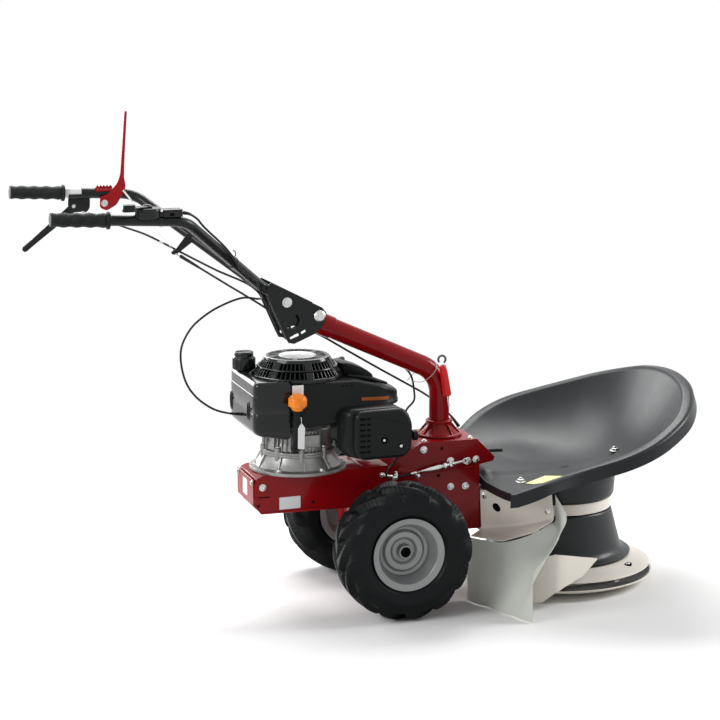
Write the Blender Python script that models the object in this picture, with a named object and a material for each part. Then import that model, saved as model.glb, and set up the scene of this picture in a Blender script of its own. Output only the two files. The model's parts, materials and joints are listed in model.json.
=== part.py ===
"""Walk-behind two-wheel tractor with a single-drum rotary mower.

Metres, +Z up, +X is the way the machine drives, +Y is its left side.
The ground is Z = 0.  While the pieces are modelled X = 0 is the wheel axle;
the last step moves everything so that the origin is midway along the machine.
"""
import math

import bmesh
import bpy
import numpy as np
from mathutils import Matrix, Vector

# Clearances
GAP = 0.0003            # between faces that meet
RUN = 0.0004            # radial play of a turning piece
SEAT = 0.0008           # radial play of a faceted ring round a faceted shaft

# Wheels
TYRE_R = 0.165
LUG_DEPTH = 0.015
LUGS = 13
TYRE_W = 0.124
RIM_FLANGE_R = 0.0895
RIM_SEAT_R = 0.0765
RIM_WELL_R = 0.064
RIM_W = 0.104
RIM_WALL = 0.003
WEB_SET_IN = 0.050      # from the rim's outer edge to its web
TRACK = 0.4425
AXLE_R = 0.0097
HUB_R = 0.016
HUB_OUT = 0.022         # how far the hub stands out of the web
AXLE_RECESS = 0.012     # the axle ends this far inside the hub

# Chassis: folded sheet, side outline in X and Z
SHEET = 0.003
CHASSIS_HALF_W = 0.0755
CHASSIS_REAR_X = -0.3277
CHASSIS_FRONT_X = 0.250
CHASSIS_TOP_Z = 0.335
CHASSIS_FLOOR_Z = 0.240
CHASSIS_BELLY_Z = 0.118
CHASSIS_FRONT_Z = 0.162
HOOD_TOP_Z = 0.390
HOOD_REAR_X = 0.097
HOOD_FRONT_X = 0.243
HOOD_RAMP_X = 0.022
NOSE_X = 0.290
NOSE_Z = 0.342
BELLY_HALF = 0.062      # half length of the part that goes down round the axle
COVER_T = 0.003
COVER_LOW_Z = 0.262
COVER_TOP_Z = 0.327

# Front adapter and mower mount
ADAPTER_T = 0.0115
ADAPTER_LOW_Z = 0.157
ADAPTER_TOP_Z = 0.260
ADAPTER_HALF_W = 0.070
MOUNT_HALF_W = 0.036
MOUNT_WALL = 0.004
MOUNT_LOW_Z = 0.2215
MOUNT_TOP_Z = 0.256

# Gearbox
GEARBOX_FRONT_X = 0.0765
GEARBOX_REAR_X = -0.052
GEARBOX_LOW_Z = 0.112
GEARBOX_TOP_Z = 0.266
GEARBOX_WALL = 0.008
WORM_WHEEL_R = 0.034
WORM_WHEEL_TEETH = 18
WORM_WHEEL_W = 0.024
WORM_X = 0.0475
WORM_R = 0.0115
WORM_SHAFT_R = 0.007

# Belt drive
BELT_Z = 0.300
DRIVE_PULLEY_R = 0.030
DRIVEN_PULLEY_R = 0.055
PULLEY_W = 0.020
BELT_W = 0.012
BELT_T = 0.007

# Engine, upright shaft
ENGINE_X = -0.197
BASE_R = 0.1185
BASE_H = 0.046
BASE_FLANGE = 0.0075
SEAM_R = 0.0915
CRANKCASE_R = 0.083
CRANKCASE_H = 0.060
CRANK_R = 0.0125
FLYWHEEL_R = 0.085
FLYWHEEL_T = 0.024
FLYWHEEL_Z = 0.500
CYLINDER_Z = 0.425
CYLINDER_R = 0.036
FIN_R = 0.050
FINS = 4
FIN_PITCH = 0.0225
FIN_T = 0.006
COWL_R = 0.112
COWL_LOW_Z = 0.455
COWL_TOP_Z = 0.562
COWL_WALL = 0.003
COWL_FRONT_X = 0.048
COWL_FRONT_TOP_Z = 0.522
COWL_FRONT_LOW_Z = 0.492
STARTER_R = 0.111
STARTER_TOP_R = 0.0795
STARTER_H = 0.0515
STARTER_WALL = 0.0025

# Tank and filler
TANK_REAR_X = -0.337
TANK_LOW_Z = 0.429
TANK_REAR_RISE = 0.014  # the tank's floor climbs this much towards the rear
TANK_TOP_Z = 0.572
TANK_WALL = 0.004
TANK_LEFT_Y = 0.126
TANK_RIGHT_Y = -0.120
TANK_END_X = -0.247
NECK_X = -0.3135
NECK_Y = 0.066
NECK_R = 0.020
NECK_H = 0.012
CAP_R = 0.0285
CAP_H = 0.044
FILLER_R = 0.0105
OIL_CAP_R = 0.0225
OIL_CAP_H = 0.038

# Air filter and silencer
FILTER_REAR_X = -0.106
FILTER_FRONT_X = 0.041
FILTER_LEAN = 0.024     # the rear corner lies this much further back beside the engine
FILTER_FACE_Y = -0.180
FILTER_BACK_Y = -0.1105
FILTER_LOW_Z = 0.379
FILTER_TOP_Z = 0.503
CARB_X = -0.040
CARB_R = 0.016
MUFFLER_REAR_X = -0.086
MUFFLER_FRONT_X = 0.030
MUFFLER_NEAR_Y = 0.112
MUFFLER_FAR_Y = 0.172
MUFFLER_LOW_Z = 0.386
MUFFLER_TOP_Z = 0.478
EXHAUST_R = 0.014

# Steering column
COLUMN_X = 0.169
COLUMN_R = 0.025
COLUMN_WALL = 0.0035
COLUMN_CORNER_Z = 0.548
COLUMN_SLOPE = math.radians(24.45)
COLUMN_BEND_R = 0.080
COLUMN_RUN = 0.358      # from the corner to the upper end
BASE_FLANGE_R = 0.057
BASE_NECK_R = 0.0295
BASE_NECK_H = 0.040
EYE_R = 0.017
PIVOT_X = -0.154
PIVOT_Z = 0.714
PIVOT_BOLT_R = 0.008
PIVOT_HEAD_R = 0.015
PIVOT_HEAD_T = 0.008
PIN_X = 0.171
PIN_Y = -0.0375
PIN_R = 0.0022
PIN_SLEEVE_R = 0.0085
PIN_SLEEVE_LOW_Z = 0.497
PIN_SLEEVE_TOP_Z = 0.572
PIN_LOOP_R = 0.0095

# Handle
PLATE_IN_Y = 0.0420
PLATE_T = 0.004
TUBE_R = 0.0125
TUBE_WALL = 0.002
GRIP_R = 0.017
GRIP_LEN = 0.134
GRIP_END_X = -0.842
HANDLE_HALF_W = 0.2727
HANDLE_Z = 1.0015
HANDLE_BEND_X = -0.5363
HANDLE_BEND_Z = 0.9875
HANDLE_LOW_X = -0.297
HANDLE_LOW_Z = 0.793
HANDLE_TIP_X = -0.232
HANDLE_TIP_Y = 0.029
HANDLE_TIP_Z = 0.752
CABLE_ARM_SHARE = 0.4534
CABLE_ARM_T = 0.005

# Controls
THROTTLE_X = -0.6235
THROTTLE_R = 0.030
THROTTLE_TOP_Z = 1.024
THROTTLE_BOX_X = -0.542
THROTTLE_LEVER_T = 0.004
CLUTCH_X = -0.686
CLUTCH_Z = 0.958
CLUTCH_TIP_X = -0.809
CLUTCH_TIP_Z = 0.859
CLUTCH_BAR_W = 0.012
CLUTCH_BAR_T = 0.005
RED_PIVOT_X = -0.613
RED_PIVOT_Z = 0.969
RED_LEVER_IN = 0.0202
RED_LEVER_T = 0.003
RED_TIP_X = -0.556
RED_TIP_Z = 1.193
ROD_Y = -0.0865
ROD_REAR_X = 0.093
ROD_REAR_Z = 0.321
ROD_FRONT_X = 0.205
ROD_FRONT_Z = 0.3395
ROD_SLEEVE_LEN = 0.055
ROD_SLEEVE_R = 0.0065
ROD_R = 0.0035
CABLE_R = 0.0026
CABLE_STEP = 0.038

# Drum mower
DRUM_X = 0.488
SKID_R = 0.245
SKID_EDGE_Z = 0.027
SKID_T = 0.004
DISC_R = 0.238
DISC_EDGE_Z = 0.047
DISC_TOP_Z = 0.0665
DISC_T = 0.004
DRUM_FLARE_R = 0.188
DRUM_FLARE_Z = 0.0745
DRUM_TOP_R = 0.1395
DRUM_TOP_Z = 0.187
DRUM_WALL = 0.003
BAND_R = 0.137
BAND_LOW_Z = 0.192
BAND_TOP_Z = 0.217
HOUSING_R = 0.147
HOUSING_WALL = 0.004
SHAFT_R = 0.0125
KNIFE_PIVOT_R = 0.200
KNIFE_ANGLE = math.radians(-49.6)
KNIFE_LEN = 0.085
KNIFE_HALF_W = 0.016
KNIFE_T = 0.003
KNIFE_Z = 0.0345
KNIFE_PIN_R = 0.006
DECK_T = 0.004
DECK_FLOOR_Z = 0.285
DECK_REAR_X = 0.2565
DECK_REAR_HALF_W = 0.290
DECK_LIP_OUT = 0.037
DECK_LIP_DOWN = 0.032
DECK_REAR_LIP = 0.020
RIDGE_H = 0.020
RIDGE_HALF_W = 0.075
RIDGE_END_X = 0.60
# the rim, one half: X, half width and height at stations from rear to front
RIM_STATIONS = (
    (DECK_REAR_X, DECK_REAR_HALF_W, 0.298),
    (0.300, 0.286, 0.312),
    (0.340, 0.293, 0.325),
    (0.420, 0.341, 0.363),
    (0.500, 0.362, 0.391),
    (0.580, 0.344, 0.416),
    (0.660, 0.296, 0.447),
    (0.700, 0.257, 0.466),
    (0.740, 0.192, 0.488),
    (0.765, 0.125, 0.505),
    (0.777, 0.055, 0.514),
)

# Skirt, flap and swath plate, on the right side
SKIRT_T = 0.003
SKIRT_PLAY = 0.005      # under the deck's skin, whose spokes are straight between rings
FLAP_T = 0.003
SWATH_T = 0.003

CUTTERS = []
ORIGIN = None


def clear_scene():
    for thing in list(bpy.data.objects):
        bpy.data.objects.remove(thing, do_unlink=True)


def material(name, colour, roughness, metallic=0.0):
    """A Principled material, made once for each name."""
    found = bpy.data.materials.get(name)
    if found:
        return found
    made = bpy.data.materials.new(name)
    made.use_nodes = True
    made.diffuse_color = (*colour, 1.0)
    shader = made.node_tree.nodes["Principled BSDF"]
    shader.inputs["Base Color"].default_value = (*colour, 1.0)
    shader.inputs["Roughness"].default_value = roughness
    shader.inputs["Metallic"].default_value = metallic
    return made


RED = ("red enamel", (0.42, 0.010, 0.015), 0.25)
BLACK = ("black enamel", (0.012, 0.013, 0.014), 0.35)
COWL = ("black moulding", (0.018, 0.019, 0.021), 0.45)
ORANGE = ("orange moulding", (0.90, 0.28, 0.02), 0.40)
TYRE = ("tyre rubber", (0.015, 0.015, 0.016), 0.70)
RIM = ("grey enamel", (0.42, 0.43, 0.44), 0.35, 0.3)
CAST = ("cast aluminium", (0.50, 0.50, 0.49), 0.45, 0.8)
STEEL = ("bright steel", (0.60, 0.60, 0.60), 0.25, 1.0)
IRON = ("cast iron", (0.10, 0.10, 0.11), 0.55, 0.7)
CREAM = ("cream enamel", (0.75, 0.72, 0.66), 0.35)
DECK = ("deck moulding", (0.030, 0.034, 0.040), 0.40)
FLAP = ("grey rubber sheet", (0.40, 0.43, 0.40), 0.60)
GRIP = ("grip rubber", (0.020, 0.020, 0.022), 0.70)
CABLE = ("cable sheath", (0.015, 0.015, 0.016), 0.50)
BELT = ("belt rubber", (0.02, 0.02, 0.02), 0.8)


def make_mesh(name, shape):
    """A closed mesh from points and faces, its faces turned outwards."""
    points, faces = shape
    mesh = bpy.data.meshes.new(name)
    mesh.from_pydata([tuple(p) for p in points], [], [tuple(f) for f in faces])
    work = bmesh.new()
    work.from_mesh(mesh)
    bmesh.ops.recalc_face_normals(work, faces=work.faces)
    work.to_mesh(mesh)
    work.free()
    mesh.update()
    return mesh


def add(name, shape, finish, pivot=(0.0, 0.0, 0.0)):
    """One named sub-part whose origin is at pivot."""
    points, faces = shape
    moved = [Vector(p) - Vector(pivot) for p in points]
    mesh = make_mesh(name, (moved, faces))
    mesh.materials.append(material(*finish))
    mesh.shade_smooth()
    mesh.set_sharp_from_angle(angle=math.radians(35))
    thing = bpy.data.objects.new(name, mesh)
    thing.location = pivot
    thing.parent = ORIGIN
    bpy.context.scene.collection.objects.link(thing)
    return thing


def combine(thing, shape, operation):
    """A Boolean of the sub-part with a hidden guide solid."""
    name = f"guide_{len(CUTTERS)}"
    guide = bpy.data.objects.new(name, make_mesh(name, shape))
    guide.parent = ORIGIN
    guide.hide_render = True
    guide.display_type = "WIRE"
    bpy.context.scene.collection.objects.link(guide)
    CUTTERS.append(guide)
    modifier = thing.modifiers.new(operation.title(), "BOOLEAN")
    modifier.operation = operation
    modifier.solver = "EXACT"
    modifier.object = guide


def cut(thing, shape):
    combine(thing, shape, "DIFFERENCE")


def fuse(thing, shape):
    combine(thing, shape, "UNION")


def bevelled(thing, width, segments=1, angle=40.0):
    modifier = thing.modifiers.new("Rounded edges", "BEVEL")
    modifier.width = width
    modifier.segments = segments
    modifier.limit_method = "ANGLE"
    modifier.angle_limit = math.radians(angle)


def turned(profile, count=24, phase=0.0):
    """A profile of radius and height carried round Z.  A radius of 0 is a pole."""
    points, rings = [], []
    for radius, height in profile:
        if radius == 0.0:
            rings.append([len(points)])
            points.append((0.0, 0.0, height))
            continue
        rings.append(list(range(len(points), len(points) + count)))
        for i in range(count):
            angle = phase + 2.0 * math.pi * i / count
            points.append((radius * math.cos(angle), radius * math.sin(angle), height))
    poled = len(rings[0]) == 1
    pairs = list(zip(rings, rings[1:]))
    if not poled:
        pairs.append((rings[-1], rings[0]))
    faces = []
    for one, two in pairs:
        for i in range(count):
            j = (i + 1) % count
            corners = [one[i % len(one)], one[j % len(one)], two[j % len(two)], two[i % len(two)]]
            faces.append(list(dict.fromkeys(corners)))
    return points, [f for f in faces if len(f) > 2]


def rod(radius, low, high, count=12, bore=0.0):
    """A cylinder or, with a bore, a sleeve along Z."""
    if bore:
        profile = [(radius, high), (radius, low), (bore, low), (bore, high)]
        return turned(profile, count)
    return turned([(0.0, high), (radius, high), (radius, low), (0.0, low)], count)


def placed(shape, base, direction=(0.0, 0.0, 1.0)):
    """The shape with its +Z turned along direction and its origin at base."""
    points, faces = shape
    turn = Vector((0.0, 0.0, 1.0)).rotation_difference(Vector(direction).normalized())
    return [turn @ Vector(p) + Vector(base) for p in points], faces


def along_y(shape, base, side=1.0):
    """The shape with its +Z along +Y or, with side -1, along -Y."""
    return placed(shape, base, (0.0, side, 0.0))


def prism(outline, low, high, axis="Z"):
    """An outline carried from low to high along one axis."""
    def ring(level):
        return [{"X": (level, a, b), "Y": (a, level, b), "Z": (a, b, level)}[axis] for a, b in outline]

    return skin([ring(low), ring(high)], closed=False)


def block(low, high):
    outline = [(low[0], low[1]), (high[0], low[1]), (high[0], high[1]), (low[0], high[1])]
    return prism(outline, low[2], high[2])


def inset(outline, distance):
    """The outline moved inwards by distance, whichever way it runs."""
    points = np.array(outline, float)
    area = np.sum(points[:, 0] * np.roll(points[:, 1], -1) - np.roll(points[:, 0], -1) * points[:, 1])
    way = 1.0 if area > 0 else -1.0
    before = points - np.roll(points, 1, axis=0)
    after = np.roll(points, -1, axis=0) - points
    before /= np.linalg.norm(before, axis=1)[:, None]
    after /= np.linalg.norm(after, axis=1)[:, None]
    normal_a = way * np.stack([-before[:, 1], before[:, 0]], axis=1)
    normal_b = way * np.stack([-after[:, 1], after[:, 0]], axis=1)
    middle = normal_a + normal_b
    middle /= np.sum(middle * normal_a, axis=1)[:, None]
    return [tuple(p) for p in points + middle * distance]


def arc(centre, radius, start, end, count):
    """Points on a circle between two angles in degrees, both included."""
    angles = np.radians(np.linspace(start, end, count))
    return [(centre[0] + radius * math.cos(a), centre[1] + radius * math.sin(a)) for a in angles]


def smooth_path(route, count):
    """Evenly spaced points on a centripetal curve through the route's points."""
    route = [Vector(p) for p in route]
    ends = [2 * route[0] - route[1]] + route + [2 * route[-1] - route[-2]]
    fine = []
    for a, b, c, d in zip(ends, ends[1:], ends[2:], ends[3:]):
        t = [0.0]
        for one, two in ((a, b), (b, c), (c, d)):
            t.append(t[-1] + math.sqrt((two - one).length))
        for k in range(24):
            u = t[1] + (t[2] - t[1]) * k / 24
            ab = a.lerp(b, (u - t[0]) / (t[1] - t[0]))
            bc = b.lerp(c, (u - t[1]) / (t[2] - t[1]))
            cd = c.lerp(d, (u - t[2]) / (t[3] - t[2]))
            abc = ab.lerp(bc, (u - t[0]) / (t[2] - t[0]))
            bcd = bc.lerp(cd, (u - t[1]) / (t[3] - t[1]))
            fine.append(abc.lerp(bcd, (u - t[1]) / (t[2] - t[1])))
    fine.append(route[-1])
    fine = np.array([tuple(p) for p in fine])
    marks = np.concatenate([[0.0], np.cumsum(np.linalg.norm(np.diff(fine, axis=0), axis=1))])
    wanted = np.linspace(0.0, marks[-1], count)
    return np.stack([np.interp(wanted, marks, fine[:, k]) for k in range(3)], axis=1)


def filleted(corners, radii, count):
    """A path of straight runs whose inner corners are rounded."""
    corners = [Vector(c) for c in corners]
    path = [corners[0]]
    for before, corner, after, radius in zip(corners, corners[1:], corners[2:], radii):
        one = (before - corner).normalized()
        two = (after - corner).normalized()
        half = one.angle(two) / 2
        reach = radius / math.tan(half)
        centre = corner + (one + two).normalized() * radius / math.sin(half)
        first = (corner + one * reach - centre).normalized()
        last = (corner + two * reach - centre).normalized()
        for k in range(count + 1):
            path.append(centre + radius * first.slerp(last, k / count))
    path.append(corners[-1])
    return path


def swept(path, radius, count=12, bore=0.0):
    """A tube along a path with flat ends, hollow if it has a bore."""
    path = [Vector(p) for p in path]
    tangents = []
    for i in range(len(path)):
        one = (path[i] - path[i - 1]).normalized() if i else Vector()
        two = (path[i + 1] - path[i]).normalized() if i + 1 < len(path) else Vector()
        tangents.append((one + two).normalized())
    side = tangents[0].orthogonal().normalized()
    outer, inner = [], []
    for i, (centre, tangent) in enumerate(zip(path, tangents)):
        if i:
            side = tangents[i - 1].rotation_difference(tangent) @ side
        side = (side - tangent * side.dot(tangent)).normalized()
        other = tangent.cross(side)
        rays = [side * math.cos(a) + other * math.sin(a)
                for a in (2.0 * math.pi * k / count for k in range(count))]
        outer.append([centre + ray * radius for ray in rays])
        inner.append([centre + ray * bore for ray in rays])
    if bore:
        return skin(outer + inner[::-1])
    return skin(outer, closed=False)


def skin(rings, closed=True):
    """Rings of points joined in order: a ring-shaped shell, or capped at both ends."""
    count = len(rings[0])
    points = [tuple(p) for ring in rings for p in ring]
    faces = []
    last = len(rings) if closed else len(rings) - 1
    for i in range(last):
        k = (i + 1) % len(rings)
        for j in range(count):
            m = (j + 1) % count
            faces.append([i * count + j, i * count + m, k * count + m, k * count + j])
    if not closed:
        faces.append(list(range(count)))
        faces.append(list(range(len(points) - count, len(points))))
    return points, faces


def grid_shell(upper, lower):
    """A closed sheet between two equal grids of points."""
    rows, columns = len(upper), len(upper[0])
    points = [tuple(p) for grid in (upper, lower) for row in grid for p in row]
    total = rows * columns
    faces = []
    for i in range(rows - 1):
        for j in range(columns - 1):
            a = i * columns + j
            faces.append([a, a + 1, a + columns + 1, a + columns])
            faces.append([total + a, total + a + columns, total + a + columns + 1, total + a + 1])
    edge = list(range(columns))
    edge += [i * columns + columns - 1 for i in range(1, rows)]
    edge += [(rows - 1) * columns + j for j in range(columns - 2, -1, -1)]
    edge += [i * columns for i in range(rows - 2, 0, -1)]
    for a, b in zip(edge, edge[1:] + edge[:1]):
        faces.append([a, b, total + b, total + a])
    return points, faces


def cable(name, route):
    """A control cable along its real route, as a curve with round section."""
    length = sum(math.dist(a, b) for a, b in zip(route, route[1:]))
    curve = bpy.data.curves.new(name, "CURVE")
    curve.dimensions = "3D"
    curve.bevel_depth = CABLE_R
    curve.bevel_resolution = 2
    curve.use_fill_caps = True
    path = smooth_path(route, round(length / CABLE_STEP))
    spline = curve.splines.new("POLY")
    spline.points.add(len(path) - 1)
    for point, place in zip(spline.points, path):
        point.co = (*place, 1.0)
    curve.materials.append(material(*CABLE))
    thing = bpy.data.objects.new(name, curve)
    thing.parent = ORIGIN
    bpy.context.scene.collection.objects.link(thing)
    return thing


# Wheels

def tyre_shape():
    """Carcass and lugs as one grid: four columns to a lug pitch, rows round the section."""
    half = TYRE_W / 2
    carcass = TYRE_R - LUG_DEPTH
    lean = 0.9                      # how far a lug runs back, in pitches, from middle to shoulder
    bead = RIM_W / 2 - 0.0085
    lip = RIM_W / 2 - 0.0044
    rows = [
        (RIM_SEAT_R + 0.0013, -bead, 0.0, 0.0),
        (RIM_FLANGE_R + 0.0023, -lip, 0.0, 0.0),
        (0.122, -half, 0.0, 0.0),
        (carcass - 0.006, -half + 0.004, LUG_DEPTH * 0.8, lean),
        (carcass, -half + 0.011, LUG_DEPTH, lean),
        (carcass, 0.0, LUG_DEPTH, 0.0),
        (carcass, half - 0.011, LUG_DEPTH, lean),
        (carcass - 0.006, half - 0.004, LUG_DEPTH * 0.8, lean),
        (0.122, half, 0.0, 0.0),
        (RIM_FLANGE_R + 0.0023, lip, 0.0, 0.0),
        (RIM_SEAT_R + 0.0013, bead, 0.0, 0.0),
        (carcass - 0.012, half - 0.014, 0.0, 0.0),
        (carcass - 0.012, -half + 0.014, 0.0, 0.0),
    ]
    steps = (0.0, 0.13, 0.50, 0.63)
    rings = []
    for radius, y, raised, back in rows:
        lifted = (1, 2) if y < 0 else (3, 0)
        ring = []
        for i in range(4 * LUGS):
            pitch, quarter = divmod(i, 4)
            a = 2.0 * math.pi * (pitch + steps[quarter] - back) / LUGS
            r = radius + (raised if quarter in lifted and y else 0.0)
            ring.append((r * math.cos(a), r * math.sin(a), y))
        rings.append(ring)
    return skin(rings)


def rim_profile():
    """Radius and distance from the wheel's middle, outwards positive."""
    half = RIM_W / 2
    web = half - WEB_SET_IN
    inner_end = -(TRACK / 2 - CHASSIS_HALF_W - 0.0065)
    return [
        (RIM_FLANGE_R, half), (RIM_FLANGE_R, half - 0.003), (RIM_SEAT_R, half - 0.007),
        (RIM_WELL_R, 0.018), (RIM_WELL_R, -0.018),
        (RIM_SEAT_R, -half + 0.007), (RIM_FLANGE_R, -half + 0.003), (RIM_FLANGE_R, -half),
        (RIM_SEAT_R - RIM_WALL, -half + 0.005), (RIM_WELL_R - RIM_WALL, -0.0165),
        (RIM_WELL_R - RIM_WALL, web - RIM_WALL), (HUB_R, web - RIM_WALL),
        (HUB_R, inner_end), (AXLE_R + GAP, inner_end), (AXLE_R + GAP, web + HUB_OUT),
        (HUB_R, web + HUB_OUT), (HUB_R, web), (RIM_WELL_R - RIM_WALL, web),
        (RIM_WELL_R - RIM_WALL, 0.0165), (RIM_SEAT_R - RIM_WALL, half - 0.005),
    ]


def wheel(side, word):
    middle = (0.0, side * TRACK / 2, TYRE_R)
    pivot = (0.0, 0.0, TYRE_R)
    add(f"tyre_{word}", along_y(tyre_shape(), middle, side), TYRE, pivot)
    add(f"rim_{word}", along_y(turned(rim_profile(), 18), middle, side), RIM, pivot)
    end = TRACK / 2 + RIM_W / 2 - WEB_SET_IN + HUB_OUT - AXLE_RECESS
    axle = rod(AXLE_R, 0.001, end, 12)
    add(f"axle_{word}", along_y(axle, pivot, side), STEEL, pivot)


# Chassis

def chassis_outline():
    return [
        (CHASSIS_REAR_X, CHASSIS_FLOOR_Z + 0.022), (CHASSIS_REAR_X + 0.017, CHASSIS_FLOOR_Z),
        (-BELLY_HALF - 0.020, CHASSIS_FLOOR_Z), (-BELLY_HALF, CHASSIS_BELLY_Z),
        (BELLY_HALF, CHASSIS_BELLY_Z), (BELLY_HALF + 0.023, CHASSIS_FRONT_Z),
        (CHASSIS_FRONT_X, CHASSIS_FRONT_Z), (CHASSIS_FRONT_X, NOSE_Z - 0.017),
        (NOSE_X - 0.004, NOSE_Z - 0.010), (NOSE_X, NOSE_Z),
        (HOOD_FRONT_X, HOOD_TOP_Z), (HOOD_REAR_X, HOOD_TOP_Z),
        (HOOD_RAMP_X, CHASSIS_TOP_Z + 0.011), (HOOD_RAMP_X - 0.014, CHASSIS_TOP_Z),
        (CHASSIS_REAR_X + 0.021, CHASSIS_TOP_Z), (CHASSIS_REAR_X + 0.006, CHASSIS_TOP_Z - 0.006),
        (CHASSIS_REAR_X, CHASSIS_TOP_Z - 0.021),
    ]


def chassis():
    outline = chassis_outline()
    frame = add("chassis_frame", prism(outline, -CHASSIS_HALF_W, CHASSIS_HALF_W, "Y"), RED)
    hollow = inset(outline, SHEET)
    hollow[0] = (CHASSIS_REAR_X - 0.010, hollow[0][1])
    hollow[-1] = (CHASSIS_REAR_X - 0.010, hollow[-1][1])
    inside = CHASSIS_HALF_W - SHEET
    cut(frame, prism(hollow, -inside, inside, "Y"))
    opening = BELLY_HALF - 0.004
    low, high = CHASSIS_BELLY_Z - 0.010, CHASSIS_BELLY_Z + 0.010
    cut(frame, block((-opening, -inside, low), (opening, inside, high)))
    cut(frame, placed(rod(0.022, CHASSIS_TOP_Z - 0.010, CHASSIS_TOP_Z + 0.010, 16), (ENGINE_X, 0, 0)))
    reach = CHASSIS_HALF_W + 0.010
    cut(frame, along_y(rod(0.0135, -reach, reach, 12), (0.0, 0.0, TYRE_R)))
    cover_half = CHASSIS_HALF_W - 0.0005
    cover = block(
        (CHASSIS_REAR_X - GAP - COVER_T, -cover_half, COVER_LOW_Z),
        (CHASSIS_REAR_X - GAP, cover_half, COVER_TOP_Z),
    )
    bevelled(add("rear_cover", cover, RED), 0.001)


def gearbox():
    half = CHASSIS_HALF_W - SHEET - GAP
    wall = GEARBOX_WALL
    low = (GEARBOX_REAR_X, -half, GEARBOX_LOW_Z)
    high = (GEARBOX_FRONT_X, half, GEARBOX_TOP_Z)
    outline = [
        (low[0] + 0.012, low[2]), (BELLY_HALF - 0.012, low[2]), (BELLY_HALF - 0.002, low[2] + 0.018),
        (high[0], low[2] + 0.048), (high[0], high[2]), (low[0], high[2]), (low[0], low[2] + 0.014),
    ]
    housing = add("gearbox_housing", prism(outline, -half, half, "Y"), IRON)
    cut(housing, prism(inset(outline, wall), -half + wall, half - wall, "Y"))
    reach = half + 0.010
    cut(housing, along_y(rod(AXLE_R + SEAT, -reach, reach, 12), (0.0, 0.0, TYRE_R)))
    top = rod(WORM_SHAFT_R + SEAT, GEARBOX_TOP_Z - 0.020, GEARBOX_TOP_Z + 0.010, 12)
    cut(housing, placed(top, (WORM_X, 0.0, 0.0)))
    ring = []
    for k in range(WORM_WHEEL_TEETH):
        for share, r in ((0.0, -0.0022), (0.22, 0.0022), (0.42, 0.0022), (0.64, -0.0022)):
            a = 2.0 * math.pi * (k + share) / WORM_WHEEL_TEETH
            radius = WORM_WHEEL_R + r
            ring.append((radius * math.cos(a), TYRE_R + radius * math.sin(a)))
    wide = WORM_WHEEL_W / 2
    wheel_part = add("worm_wheel", prism(ring, -wide, wide, "Y"), STEEL, (0.0, 0.0, TYRE_R))
    cut(wheel_part, along_y(rod(AXLE_R + SEAT, -2 * wide, 2 * wide, 12), (0.0, 0.0, TYRE_R)))
    worm = [(0.0, BELT_Z - PULLEY_W / 2 - 0.002), (WORM_SHAFT_R, BELT_Z - PULLEY_W / 2 - 0.002)]
    threads = 4
    pitch = 0.008
    start = TYRE_R + pitch * threads / 2
    worm.append((WORM_SHAFT_R - 0.001, start))
    for k in range(threads):
        z = start - k * pitch
        worm += [(WORM_SHAFT_R, z - 0.001), (WORM_R - 0.003, z - 0.003)]
        worm += [(WORM_R - 0.003, z - 0.005), (WORM_SHAFT_R, z - 0.007)]
    worm += [(WORM_SHAFT_R - 0.001, GEARBOX_LOW_Z + 0.034), (0.0, GEARBOX_LOW_Z + 0.034)]
    axis = (WORM_X, 0.0, 0.0)
    add("worm_shaft", placed(turned(worm, 8), axis), STEEL, (WORM_X, 0.0, BELT_Z))


def pulley(name, radius, x, finish, bore=0.0):
    """A V-pulley in the belt's plane, with a bore for the shaft it sits on."""
    half = PULLEY_W / 2
    groove = BELT_W / 2 + 0.001
    floor = radius - BELT_T - 0.0015
    profile = [
        (radius, BELT_Z + half), (radius, BELT_Z + groove), (floor, BELT_Z + groove - 0.001),
        (floor, BELT_Z - groove + 0.001), (radius, BELT_Z - groove), (radius, BELT_Z - half),
    ]
    if bore:
        profile += [(bore, BELT_Z - half), (bore, BELT_Z + half)]
    else:
        profile = [(0.0, BELT_Z + half)] + profile + [(0.0, BELT_Z - half)]
    add(name, placed(turned(profile, 20), (x, 0.0, 0.0)), finish, (x, 0.0, BELT_Z))


def belt():
    """The belt as one loop: an arc round each pulley and two straight spans."""
    distance = WORM_X - ENGINE_X
    lean = math.degrees(math.acos((DRIVEN_PULLEY_R - DRIVE_PULLEY_R) / distance))

    def loop(out):
        small = DRIVE_PULLEY_R - BELT_T + out
        large = DRIVEN_PULLEY_R - BELT_T + out
        one = arc((WORM_X, 0.0), large, -180 + lean, 180 - lean, 15)
        two = arc((ENGINE_X, 0.0), small, 180 - lean, 180 + lean, 9)
        return one + two

    low, high = BELT_Z - BELT_W / 2, BELT_Z + BELT_W / 2
    section = ((BELT_T, low), (BELT_T, high), (0.0, high), (0.0, low))
    add("drive_belt", skin([[(x, y, z) for x, y in loop(out)] for out, z in section]), BELT)


# Engine

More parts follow.
